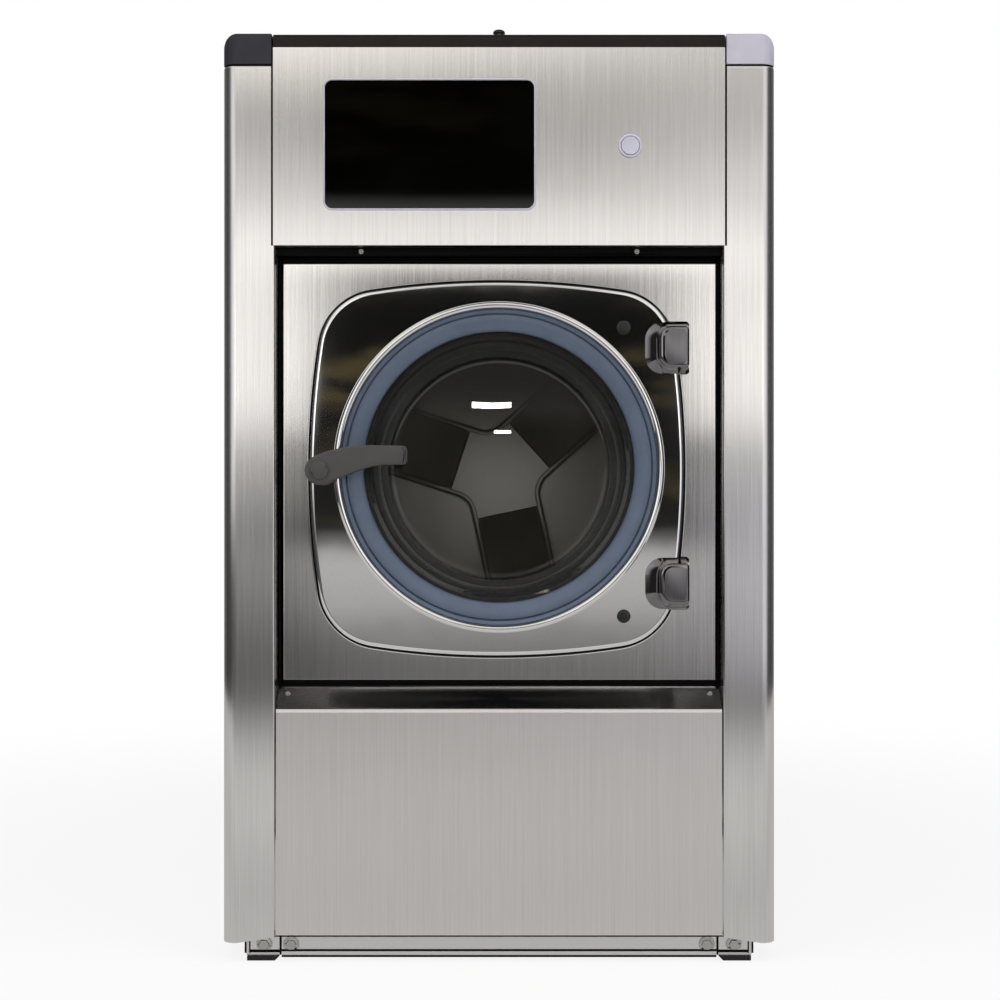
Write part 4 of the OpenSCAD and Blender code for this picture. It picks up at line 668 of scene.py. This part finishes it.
def outward(points):
    """Unit normals of a closed anticlockwise outline: its tangent turned by a right angle."""
    step = np.roll(points, -1, 0) - np.roll(points, 1, 0)
    normal = np.stack([step[:, 1], -step[:, 0]], 1)
    return normal / np.linalg.norm(normal, axis=1, keepdims=True)


def along_y(outlines, depths):
    """One closed outline in X and Z at each depth."""
    outlines = np.asarray(outlines, float)
    depths = np.broadcast_to(np.array(depths, float)[:, None], outlines.shape[:2])
    return np.stack([outlines[..., 0], depths, outlines[..., 1]], -1)


def swept(outline, normal, profile):
    """A profile of inset and depth carried round an outline: each point moves in along its own normal."""
    return along_y([outline - normal * inset for inset, _ in profile], [y for _, y in profile])


def display_lip():
    outline = rounded(-252.1, 52.9, 1076.4, 1265.1, [13.5] * 4, 12)
    profile = [(0.0, -437.9), (0.0, -438.9), (0.3, -439.5), (0.9, -439.8), (1.7, -439.7), (2.3, -439.2),
               (2.6, -438.6), (2.6, -437.9)]
    skin = Skin().grid(swept(outline, outward(outline), profile), True, True)
    return make("display_lip", skin, "cabinet", "cap_lilac", sharp=60)


display_lip()


# %% Bezel and button
BUTTON = np.array([188.0, 1168.5])


def turned(profile, middle=AXIS, steps=192):
    """A profile of radius and depth carried round a line along Y: X = r cos a, Z = r sin a."""
    a = np.linspace(0, 2 * pi, steps, endpoint=False)[:, None]
    r, y = np.asarray(profile, float).T
    y = np.broadcast_to(y, (steps, len(y)))
    return np.stack([middle[0] + r * np.cos(a), y, middle[1] + r * np.sin(a)], -1)


def turned_piece(name, profile, body, slot, instead_of=None, middle=AXIS, steps=192, sharp=38.0):
    """A closed profile turned into a ring, or a disc where it touches the axis."""
    return make(name, Skin().grid(turned(profile, middle, steps), True, True), body, slot, instead_of, sharp)


def start_button():
    """The dish is a parabola 1.1 mm deep."""
    dish = [(r, -441.5 + 1.1 * (1 - (r / 11.5) ** 2)) for r in np.linspace(0, 11.5, 16)]
    rim = [(12.1, -441.5), (12.7, -441.25), (13, -440.7), (13, -435.5), (5, -435.5), (5, -416.6), (0, -416.6)]
    bezel = [(13.45, -430.6), (15.0, -430.6), (15.0, -438.1), (17.0, -438.1), (17.0, -439.9), (16.6, -440.6),
             (15.9, -441.0), (14.6, -441.0), (13.8, -440.6), (13.45, -439.8)]
    turned_piece("start_button_dish", dish + rim, "button", "button_lilac", "start_button", BUTTON, 72)
    turned_piece("button_bezel_ring", bezel, "cabinet", "button_lilac", "button_bezel", BUTTON, 72)


start_button()

# %% [markdown]
# ## Screws
# The small screws have domed heads with a cross slot. The head is a polar grid whose height is a dome less a dip
# wherever the point lies near one of the two bars of the cross.

# %% Cross-slot screws
def screw_head(middle, tilt, skin, radius=4.0, height=1.9):
    """Dome h (1 - (r/R)^2)^0.5 less a cross dip, then a short side and a flat back, tipped about X by tilt."""
    r = np.append(np.linspace(0, 0.96, 22), 1.0)[:, None] * radius
    a = np.linspace(0, 2 * pi, 64, endpoint=False)[None, :] + 0.4
    u, v = r * np.cos(a), r * np.sin(a)
    bars = np.minimum(np.abs(u), np.abs(v))
    dip = np.clip((0.75 - bars) / 0.3, 0, 1) * np.clip((2.5 - r) / 0.5, 0, 1)
    h = 0.5 + (height - 0.5) * np.sqrt(np.clip(1 - (r / radius) ** 2, 0, 1)) - 1.1 * dip
    side = np.stack([u[-1], np.zeros(64), v[-1]], -1)
    shell = np.vstack([np.stack([u, -h, v], -1), side[None], np.zeros((1, 64, 3))])
    c, s = cos(tilt), sin(tilt)
    turn = np.array([[1, 0, 0], [0, c, s], [0, -s, c]])
    skin.grid(shell @ turn + np.array(middle), wrap_columns=True)


def panel_screws():
    """Two upright heads on the header strip and two that lie on the slope of the ledge."""
    skin = Skin()
    y = FRONT + 7 + 28 * 0.64
    for side in (-1, 1):
        screw_head((side * 199, -418.5, 1020), 0.0, skin)
        screw_head((side * 305.5, y, LEDGE_Z - (FRONT + LEDGE_DEPTH - y) * tan(SLOPE)), pi / 2 - SLOPE, skin)
    return make("panel_screw_heads", skin, "cabinet", "fastener_steel", "panel_screws", 50)


panel_screws()

# %% [markdown]
# ## The door plate
# The door is a barrel-sided square pressed from one sheet: a skirt, a rounded rim, a flat face, a bead, and the
# hole for the window. Every ring of the grid has as many points as the outline, so the flat face is simply a blend
# from the square to the circle. Each ring of the rim is the outline moved in along its normals.

# %% Door outline
DOOR_MIDDLE = np.array([-3.2, 706.5])  # a little off the drum's axis


def door_outline(count=480):
    """A shallow arc along each side and a short one round each corner, worked out for one quarter and turned four
    times; evenly spaced points and their normals."""
    half, side, corner = 272.0, 1200.0, 94.0
    back = side - half
    reach = (np.sqrt(2 * (side - corner) ** 2 - back ** 2) - back) / 2
    turn = np.degrees(np.arctan2(reach, reach + back))
    spans = ((-back, 0), side, -turn, turn), ((reach, reach), corner, turn, 90 - turn)
    points = np.vstack([arc(middle, r, a0, a1, 24) for middle, r, a0, a1 in spans])
    normals = np.vstack([arc((0, 0), 1, a0, a1, 24) for _, _, a0, a1 in spans])
    turns = [np.array([[c, s], [-s, c]]) for c, s in ((1, 0), (0, 1), (-1, 0), (0, -1), (1, 0))]
    table = np.vstack([np.hstack([points @ quarter, normals @ quarter]) for quarter in turns])
    table = table[:4 * len(points) + 1]
    length = np.append(0, np.cumsum(np.linalg.norm(np.diff(table[:, :2], axis=0), axis=1)))
    at = np.linspace(0, length[-1], count, endpoint=False)
    even = np.column_stack([np.interp(at, length, column) for column in table.T])
    return even[:, :2] + DOOR_MIDDLE, even[:, 2:] / np.linalg.norm(even[:, 2:], axis=1, keepdims=True)


OUTLINE, NORMAL = door_outline()
print("door outline in millimetres:", OUTLINE.min(0).round(1), OUTLINE.max(0).round(1))


# %% Door plate
HINGE_Z = (542.5, 878.5)
HINGE_CUTS = [box for z in HINGE_Z for box in (((245.5, -452.0, z - 21.5), (276.0, -400.0, z + 21.5)),
                                               ((239.0, -450.5, z - 30.5), (268.0, -400.0, z + 30.5)))]


def cut_boxes(obj, boxes):
    """Takes boxes, given by two corners, out of a piece with an exact Boolean, and keeps the result."""
    for low, high in boxes:
        tool = link("tool", Skin().block(low, high).mesh("tool"))
        cut = obj.modifiers.new("cut", "BOOLEAN")
        cut.object, cut.operation, cut.solver = tool, "DIFFERENCE", "EXACT"
        graph = bpy.context.evaluated_depsgraph_get()
        mesh = bpy.data.meshes.new_from_object(obj.evaluated_get(graph))
        obj.modifiers.remove(cut)
        obj.data = mesh
        bpy.data.objects.remove(tool)
    settle(obj.data, 34)
    return obj


def door_plate():
    """Rings from the skirt over the rim, across the face, over the bead, and back along the inside."""
    # the plate stops dark_edge short of the outline, so that the band of painted shade shows round it
    dark_edge, rim, face_end, bead, hole = 4.2, 6.0, 236.5, 5.3, 225.9
    outline = OUTLINE - NORMAL * dark_edge
    angle = np.arctan2(outline[:, 1] - AXIS[1], outline[:, 0] - AXIS[0])
    spokes = np.column_stack([np.cos(angle), np.sin(angle)])
    rings, depths = [outline], [DOOR_BACK - 6]
    for a in np.linspace(0, pi / 2, 9):
        rings.append(outline - NORMAL * rim * (1 - cos(a)))
        depths.append(PLATE + rim * (1 - sin(a)))
    face = rings[-1]
    for t in (0.008, *np.linspace(0, 1, 12)[1:-1], 0.985, 1.0):
        rings.append(face * (1 - t) + (AXIS + face_end * spokes) * t)
        depths.append(PLATE)
    for a in np.linspace(0, pi, 17)[1:]:
        rings.append(AXIS + (face_end - bead + bead * cos(a)) * spokes)
        depths.append(PLATE - 6.5 * sin(min(a, 3.14)) ** 0.9)
    rings += [AXIS + hole * spokes, AXIS + 229 * spokes, *[outline - NORMAL * inset for inset in (14, 3.2, 3)]]
    depths += [PLATE + 3.2, PLATE + 3.2, PLATE + 3.2, PLATE + 12, DOOR_BACK - 6]
    skin = Skin().grid(along_y(rings, depths), True, True)
    return cut_boxes(make("door_plate_sheet", skin, "door", "door_chrome", "door_plate"), HINGE_CUTS)


def door_edge_shade_band():
    """Painted shade: a dark band round the skirt, out to 2.2 mm inside the door's outline, from under the rim to
    the frame.
    """
    # painted shade: a black band at the door's edge, standing in for the dark gap round the door
    profile = [(2.6, PLATE + 4.6), (2.2, PLATE + 5.4), (2.2, DOOR_BACK - 6), (4.1, DOOR_BACK - 6),
               (4.1, PLATE + 4.6)]
    skin = Skin().grid(swept(OUTLINE, NORMAL, profile), True, True)
    return cut_boxes(make("door_edge_shade_band", skin, "door", "door_dark"), HINGE_CUTS)


def opening_bead():
    """A narrow arch pressed into the front panel, 0.8 to 3.8 outside the door's outline."""
    arch = [(1.5 * cos(a) - 2.3, PANEL - 1.5 * sin(a)) for a in np.linspace(0, pi, 9)]
    skin = Skin().grid(swept(OUTLINE, NORMAL, [(-0.8, PANEL + 0.3), *arch, (-3.8, PANEL + 0.3)]), True, True)
    return make("opening_bead", skin, "suspended_tub", "door_chrome")


door_plate()
door_edge_shade_band()
opening_bead()

# %% [markdown]
# ## Hinge covers
# Over each hinge stands a D-shaped cover: upright and tight on the right, wide and flowing into the plate on the
# left. It is a stack of rounded rectangles whose left side draws in faster than its right as it rises.

# %% Hinge covers, their inserts and the plugs
def hinge_covers():
    """The flare at the foot fades with (1 - t)^2.2 of the height; the top edge is a quarter circle of 5."""
    skin = Skin()
    for z in HINGE_Z:
        rings, depths = [], []
        for t in np.linspace(0, 1, 9):
            flare = (1 - t) ** 2.2
            rings.append(rounded(227 - 22 * flare, 270 + 2.0 * flare, z - 30 - 8 * flare, z + 30 + 8 * flare,
                                 [6, 6, 18 + 8 * flare, 18 + 8 * flare]))
            depths.append(PLATE + 1.5 - t * 18.5)
        for a in np.linspace(0, pi / 2, 7)[1:]:
            draw = 5 * (1 - cos(a))
            rings.append(rounded(227 + draw, 270 - draw, z - 30 + draw, z + 30 - draw,
                                 [6 - draw * 0.5, 6 - draw * 0.5, 18 - draw, 18 - draw]))
            depths.append(PLATE - 17 - 5 * sin(a))
        skin.pile(along_y(rings, depths))
    # painted shade: the covers wear the darker copy of the door's chrome
    return cut_boxes(make("hinge_covers", skin, "door", "door_chrome", look="cover_chrome"), HINGE_CUTS)


def hinge_inserts():
    """A thin D with a rounded edge, on the flat of each cover."""
    skin = Skin()
    for z in HINGE_Z:
        rings = [rounded(234.5 + d, 265.5 - d, z - 24 + d, z + 24 - d, [5 - d, 5 - d, 13 - d, 13 - d])
                 for d in (0, 0, 0.4, 1.0)]
        skin.pile(along_y(rings, [-467.4, -468.2, -468.6, -468.7]))
    return make("hinge_cover_inserts", skin, "door", "insert_grey", "hinge_inserts")


def door_plugs():
    """Low domes with a rolled edge over the holes beside each hinge."""
    profile = [(0, PLATE - 1.5)] + [(r, PLATE - 1.5 + 0.5 * (r / 8.6) ** 4) for r in (3, 6, 8, 8.8)]
    profile += [(9.6, PLATE - 0.5), (9.9, PLATE + 0.3), (9.0, PLATE + 0.4), (8.9, PLATE + 12), (0, PLATE + 12)]
    skin = Skin()
    for z in (495.6, 907.6):
        skin.grid(turned(profile, (178, z), 64), True, True)
    return make("door_plug_caps", skin, "door", "black_plastic", "door_plugs")


hinge_covers()
hinge_inserts()
door_plugs()

# %% [markdown]
# ## Window ring, bowl and gasket
# These are turned shapes: each is a profile of radius and depth carried round the drum's axis. The gasket's inner
# wall is folded so that it can follow the tub, and a row of ripples in its radius gives the folds.

# %% Ring, bowl and gasket
turned_piece("window_ring_moulding", [
    (217.4, -441.4), (217.8, -437.0), (219.8, -437.0), (220.2, -440.6), (221.4, -441.6), (225.4, -443.6),
    (225.6, -442.4), (217.6, -436.0), (217.6, -423.6), (198.2, -423.6), (195.8, -425.2), (194.6, -427.0),
    (194.6, -433.0), (195.6, -435.6), (198.0, -437.6), (202.0, -439.4), (208.0, -440.9), (215.6, -441.8)],
    "door", "ring_blue_grey", "window_ring", sharp=30)

# Depth of the bowl's floor, its radius there, the radius of the bend outside and the thickness of the glass
BOWL_Y, BOWL_R, BOWL_BEND, GLASS = DOOR_BACK + 110, 158, 16, 7
outer_bend, inner_bend = [arc((BOWL_R, BOWL_Y - BOWL_BEND), r, 8, 90, 12).tolist()
                          for r in (BOWL_BEND, BOWL_BEND - GLASS)]
dome = [(r, BOWL_Y + 6 * (1 - (r / BOWL_R) ** 2)) for r in np.linspace(145, 0, 12)]
turned_piece("glass_bowl_pressing", [
    (211.4, -423.4), (211.4, -417.6), (189.0, -417.4), (188.0, -407.5), *outer_bend, *dome,
    *[(r, y - GLASS) for r, y in dome[::-1]], *inner_bend[::-1], (181.0, -419.4), (183.0, -423.4)],
    "door", "bowl_glass", "glass_bowl", sharp=50)

folds = [(193.6 + 3.2 * (1 - cos(4 * pi * t)), PANEL + 13 + 23 * t) for t in np.linspace(0, 1, 25)]
turned_piece("gasket_bellows", [
    (194.2, -406.4), (195.5, -407.0), (224.5, -407.0), (225.9, -406.0), (225.9, -403.9), (213.1, -403.9),
    (213.1, -363.7), (203.0, -363.7), *folds[::-1], (193.2, -392)],
    "suspended_tub", "gasket_rubber", "door_gasket")

# %% [markdown]
# ## Lever
# The lever is a moulding with a round boss and a curved arm. A closed spline through a dozen points gives its
# outline, and the front edge is rounded by rings of that outline moved in along its normals. The cap on the boss
# is a disc with two narrow crescent slots for a tool.

# %% Lever and cap
LEVER = np.array([-253.3, 703.7])


def spline(points, per_span=8):
    """A closed Catmull-Rom curve: each span is the cubic that leaves and meets its ends along their neighbours."""
    p = np.asarray(points, float)
    t = np.linspace(0, 1, per_span, endpoint=False)[None, :, None]
    a, b, c, d = [np.roll(p, k, 0)[:, None, :] for k in (1, 0, -1, -2)]
    return (0.5 * (2 * b + (c - a) * t + (2 * a - 5 * b + 4 * c - d) * t ** 2
                   + (3 * b - a - 3 * c + d) * t ** 3)).reshape(-1, 2)


def lever():
    """Outline of boss, arm and square end about the pivot, rounded by 2.2 at the front and 1.2 at the back."""
    boss = arc((0, 0), 20.8, 118, 306, 12)
    under = [(34.1, -8.9), (48, -3.6), (61.3, 1.1), (74, 4.8), (88.5, 6.9), (104, 7.4)]
    end = np.vstack([arc((116.8, 14.0), 6.6, -84, 0, 5), arc((116.8, 27.8), 6.6, 0, 84, 5)])
    over = [(104, 34.8), (84, 35.1), (61.3, 35.1), (46, 33.8), (29.8, 31.2), (9, 26)]
    outline = spline(np.vstack([boss, under, end, over]), 5) + LEVER
    front = [(2.2 * (1 - sin(a)), -475.5 + 2.2 * (1 - cos(a))) for a in np.linspace(0, pi / 2, 6)]
    back = [(1.2 * (1 - cos(a)), -461.7 + 1.2 * sin(a)) for a in np.linspace(0, pi / 2, 4)]
    foot = [(0, -460.4), (20.0, -460.4), (20.6, -459.6), (20.6, -451.4), (19.6, -450.5), (12, -450.5),
            (12, -446.1), (8, -446.1), (8, -405.6), (0, -405.6)]
    skin = Skin().pile(swept(outline, outward(outline), front + back)).grid(turned(foot, LEVER, 64), True, True)
    return make("lever_moulding", skin, "lever", "lever_grey", "lever_handle", 40)


def lever_cap():
    """A disc with a softened edge and two crescents sunk into its face."""
    disc = [(0, -478.2), (11.6, -478.2), (12.6, -477.9), (13.1, -477.2), (13.1, -475.4), (0, -475.4)]
    turned_piece("lever_cap_disc", disc, "lever", "lever_grey", "lever_cap", LEVER, 72)
    skin = Skin()
    span = np.linspace(0, 1, 13)[:, None]
    for start in (8, 188):
        a = np.radians(start + 34 * span)
        r = 11.2 + (0.75 * np.sin(pi * span) + 0.05) * np.array([[-1, 1]])
        face = np.stack([LEVER[0] + r * np.cos(a), np.full_like(r, -478.35), LEVER[1] + r * np.sin(a)], -1)
        skin.sheet(face, face + np.array([0, 0.3, 0]))
    make("lever_cap_slots", skin, "lever", "black_plastic")


lever()
lever_cap()

# %% [markdown]
# ## Inside the drum
# The back plate carries a three-armed star whose edges are pressed up as rounded beads. The bead follows the edge
# of one arm towards the middle, round a concave corner and out along the next arm, three times.

# %% Beads round the star
def star_beads():
    """Path: straight, arc of 45 round the corner point, straight; profile: a low arch 11 wide and 7 high."""
    skin = Skin()
    half, bend, reach, plate_y = 52.5, 45.0, 262, 43.9
    along = np.array([cos(radians(60)), sin(radians(60))])
    corner = (half + bend) / along[1] * along
    inner = arc(corner, bend, -90, -150, 14)
    first = np.column_stack([np.linspace(reach, corner[0], 12, endpoint=False), np.full(12, half)])
    last = inner[-1] + along * (-1, 1) * np.linspace(0, reach - corner[0], 12)[1:, None]
    path = np.vstack([first, inner, last])
    step = np.gradient(path, axis=0)
    across = np.column_stack([-step[:, 1], step[:, 0]]) / np.linalg.norm(step, axis=1, keepdims=True)
    a = np.linspace(0, pi, 11)
    flat = path[:, None, :] + across[:, None, :] * (5.5 * np.cos(a)[None, :, None] - 3.0)
    for turn in (42, 162, 282):
        c, s = cos(radians(turn)), sin(radians(turn))
        x, z = np.moveaxis(flat @ np.array([[c, s], [-s, c]]), -1, 0)
        top = np.stack([x, np.broadcast_to(plate_y - 7.0 * np.sin(a) ** 0.7, x.shape), z + AXIS[1]], -1)
        base = top[:, [-1, 0]].copy()
        base[..., 1] = 50.2
        skin.pile(np.hstack([top, base]))
    return make("star_beads", skin, "drum_group", "drum_steel", sharp=50)


star_beads()

# %% [markdown]
# ## Springs
# A coil spring is a round wire on a helix whose first and last turn lie close together to give it a flat seat. It
# stands between the base and the moving tub; the piece is joined to neither body.

# %% Springs
def springs():
    """Wire round a helix; the first and the last 0.75 of a turn rise by seat, and the rest rises evenly."""
    turns, low, high, seat = 7.5, 15.9, 245.2, 5
    helix, wire = 22.5, 4.4
    at = np.linspace(0, turns, 300)
    even = np.clip((at - 0.75) / (turns - 1.5), 0, 1)
    ends = np.clip(at / 0.75, 0, 1) + np.clip((at - turns) / 0.75 + 1, 0, 1)
    z = low + seat * ends + (high - low - 2 * seat) * even
    a, round_wire = 2 * pi * at[:, None], np.linspace(0, 2 * pi, 12, endpoint=False)[None, :]
    r, up = helix + wire * np.cos(round_wire), wire * np.sin(round_wire)
    skin = Skin()
    for x0 in (-345, 345):
        for y0 in (-253, 207):
            skin.pile(np.stack([x0 + r * np.cos(a), y0 + r * np.sin(a), z[:, None] + up], -1))
    obj = dress("spring_coils", settle(skin.mesh("spring_coils"), 60), "spring_steel")
    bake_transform(obj)
    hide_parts("suspension_springs")
    print("spring_coils:", len(obj.data.polygons), "faces")


springs()

# %% [markdown]
# ## The floor, the room and the light
# A plain pale floor runs into a white background, which is what the camera and the light through the glass see.
# Steel shows the room it stands in, so mirror rays meet a simple studio instead: bright walls above eye height, a
# dim band below them, and a dark gap straight behind the camera. The glass mirrors perfectly sharply, and for such
# rays the room is dark but for two tubes. All other rays find an even grey, and soft lamps add to it.

# %% Floor
RAYS = ["Is Camera Ray", "Is Glossy Ray", "Is Transmission Ray", "Is Singular Ray"]
DARK_ROOM, SHARP_SHARE = (0.02, 0.018, 0.014), 0.92


def ramp(recipe, at, stops, warm):
    """A grey by place, from stops of a place and a brightness, a little warmer in red than in blue."""
    colours = [(place, (value * (1 + warm), value, value * (1 - warm))) for place, value in stops]
    return recipe.node("ValToRGB", {"stops": colours}, {0: at})


def floor():
    """Rings of points on a disc, a hair below the feet. The camera sees it whiten with distance; in the steel it
    shows a tone that fades with the distance ahead."""
    a = np.linspace(0, 2 * pi, 96, endpoint=False)[None, :]
    radius = np.array([0.0, 0.6, 1.2, 2.4, 3.6])[:, None] / MM
    disc = np.stack([radius * np.cos(a), radius * np.sin(a), np.full((5, 96), -0.6)], -1)
    r = finish("studio_floor")
    camera, glossy, through, sharp = r.outputs("LightPath", RAYS)
    matt = r.node("BsdfDiffuse", None, {0: (0.74, 0.74, 0.73)})
    white = r.node("Emission", None, {0: (1, 1, 1)})
    x, y, _ = r.axes()
    far = r.math("SQRT", x * x + y * y).between(0.7, 2.6)
    seen = r.blend(camera * (0.86 + far * 0.14) + through * 0.5, matt, white)
    tone = ramp(r, (FRONT * MM - y) / 4.0, [(0.0, 0.55), (0.10, 0.50), (0.26, 0.60), (0.40, 0.58), (0.50, 0.50),
                                            (0.60, 0.38), (0.68, 0.25), (0.78, 0.17)], 0.01)
    mirrored = r.node("Emission", None, {0: r.mix(sharp * SHARP_SHARE, tone, DARK_ROOM)})
    r.show(r.blend(glossy * 0.9, seen, mirrored))
    obj = dress("studio_floor", settle(Skin().grid(disc, wrap_columns=True).mesh("studio_floor")), "studio_floor")
    print("floor out to", radius.max() * MM, "metres")


floor()


# %% Room
# Brightness by the height of the mirrored ray, from -1 straight down to 1 straight up
WALLS = [(-1.0, 0.4), (-0.26, 0.3), (-0.152, 0.22), (-0.125, 0.14), (-0.11, 0.11), (-0.087, 0.075), (-0.051, 0.12),
         (-0.015, 0.36), (0.009, 0.66), (0.033, 0.85), (0.045, 1.95), (0.06, 2.05), (0.095, 1.85), (0.131, 1.65),
         (0.16, 1.12), (0.174, 0.74), (0.189, 1.2), (0.2, 0.8), (0.21, 0.58), (0.239, 0.5), (0.253, 0.5),
         (0.27, 0.6), (0.3, 0.8), (0.34, 1.0), (0.48, 1.0), (0.6, 0.8), (0.9, 0.7), (0.95, 0.06), (1.0, 0.02)]
GAP = [(-1.0, 0.45), (-0.12, 0.2), (-0.1, 0.16), (-0.08, 0.25), (-0.06, 0.42), (-0.034, 0.48), (-0.02, 0.015),
       (0.1, 0.006), (0.1325, 0.006), (0.1345, 1.2), (0.1715, 1.2), (0.173, 0.004), (0.2515, 0.004),
       (0.2535, 1.15), (0.29, 1.0), (0.33, 0.5), (0.48, 0.5), (0.6, 0.9), (0.9, 0.9), (0.95, 0.06), (1.0, 0.02)]
REAR = [(-1.0, 0.45), (-0.1, 0.45), (0.05, 0.55), (0.5, 0.45), (0.85, 0.12), (1.0, 0.08)]


def tubes(across, z):
    """Two thin level bands, a long one over a short one, by the ray's slope across and its height."""
    left = across.between(-0.011, -0.010)
    long_tube = left * (1.0 - across.between(0.022, 0.023)) * z.band((-0.0391, -0.0381), (-0.0347, -0.0337))
    return long_tube + left * (1.0 - across.between(0.003, 0.004)) * z.band((-0.0147, -0.0143), (-0.0121, -0.0117))


def room():
    """Walls, gap and rear by the ray's height, joined by its direction: the gap is where |x / y| is small on the
    camera's side. Soft masks add windows to the walls and the gap, and darken both low and at the sides."""
    world = bpy.data.worlds.new("studio")
    bpy.context.scene.world = world
    world.use_nodes = True
    # In the world, Generated is the direction of the ray
    r = Recipe(world.node_tree, "Generated")
    x, y, z = r.axes()
    height = z * 0.5 + 0.5
    walls, gap, rear = [ramp(r, height, [((h + 1) / 2, value) for h, value in stops], 0.02)
                        for stops in (WALLS, GAP, REAR)]
    across = x / r.math("MAXIMUM", y * -1.0, 0.001)
    sideways = r.math("ABSOLUTE", x / r.math("MINIMUM", y, -0.001))
    ahead = r.math("LESS_THAN", y, 0.0)
    flank = r.math("ABSOLUTE", x)

    patches = r.noise((3, 3, 16), scale=2.4, detail=3.0, roughness=0.6).between(0.52, 0.66) * z.between(-0.02, 0.0)
    gap = r.mix(patches * 0.8, gap, (0.085, 0.068, 0.034))
    gap = r.mix(across.between(0.03, 0.06) * z.band((0.165, 0.18), (0.26, 0.28)), gap, (0.85, 0.83, 0.78))

    low_right = x.between(0.11, 0.20) * z.band((-0.13, -0.09), (0.012, 0.035))
    high_left = x.band((-0.30, -0.16), (-0.115, -0.095)) * z.band((0.226, 0.25), (0.285, 0.30))
    side_window = flank.between(0.28, 0.42) * z.band((-0.03, 0.04), (0.30, 0.45)) * ahead
    walls = r.mix(low_right * 0.8, walls, (0.95, 0.95, 1.02))
    walls = r.mix(high_left, walls, (2.1, 2.04, 1.88))
    walls = r.mix(side_window, walls, (0.95, 0.94, 0.96))
    walls = r.mix(flank.between(0.66, 0.84), walls, (0.05, 0.049, 0.050))
    rear = r.mix(flank.between(0.55, 0.85), rear, (0.10, 0.098, 0.10))

    low_shade = (1.0 - sideways.between(0.134, 0.146)) * (1.0 - z.between(0.01, 0.105)) * ahead
    around = r.mix(low_shade, r.mix((y * -1.0).between(-0.30, 0.0), rear, walls), (0.02, 0.02, 0.02))
    studio = r.mix((1.0 - sideways.between(0.106, 0.124)) * ahead, around, gap)

    camera, glossy, through, sharp = r.outputs("LightPath", RAYS)
    studio = r.mix(sharp * SHARP_SHARE, studio, DARK_ROOM)
    studio = r.mix(tubes(across, z) * ahead * sharp, studio, (16.0, 16.0, 15.0))
    even = r.mix(glossy, (0.42, 0.42, 0.43), studio)
    colour = r.mix(r.math("MAXIMUM", camera, through), even, (1.0, 1.0, 1.0))
    r.node("OutputWorld", None, {0: r.node("Background", None, {0: colour, 1: 1.0})})
    print("room of", len(world.node_tree.nodes), "nodes")


room()


# %% Lamps
def lamp(name, spot, aim, size, watts):
    """A rectangular area lamp at a spot in metres that points at another and isn't seen in the steel."""
    light = bpy.data.lights.new(name, "AREA")
    light.shape, light.size, light.size_y, light.energy = "RECTANGLE", size[0], size[1], watts
    obj = link(name, light)
    obj.location = spot
    obj.rotation_euler = (Vector(aim) - Vector(spot)).to_track_quat("-Z", "Y").to_euler()
    obj.visible_glossy = False
    print(f"{name}: {watts} W")


for name, x in (("left_window", -2.6), ("right_window", 2.6)):
    lamp(name, (x, -1.9, 1.3), (0, -0.2, 0.7), (0.8, 1.8), 24)
lamp("front_window", (0, -3.2, 1.5), (0, -0.2, 0.7), (1.2, 0.8), 20)
lamp("ceiling", (0, -0.9, 3.0), (0, -0.1, 0.6), (2.2, 1.2), 38)

# %% [markdown]
# ## The camera
# The photograph is a straight front view, and the heights at which edges start to show place the camera at 0.66 m
# above the floor, level, and 2.4 m in front of the columns. At that distance a 60 mm lens frames the machine.

# %% Camera and picture
camera_data = bpy.data.cameras.new("front_view")
camera_data.lens, camera_data.sensor_width = 60.3, 36.0
camera = link("front_view", camera_data)
camera.location = (0.0014, -2.8365, 0.6615)
camera.rotation_euler = (pi / 2, 0, 0)
bpy.context.scene.camera = camera
bpy.context.scene.view_settings.view_transform = "Standard"
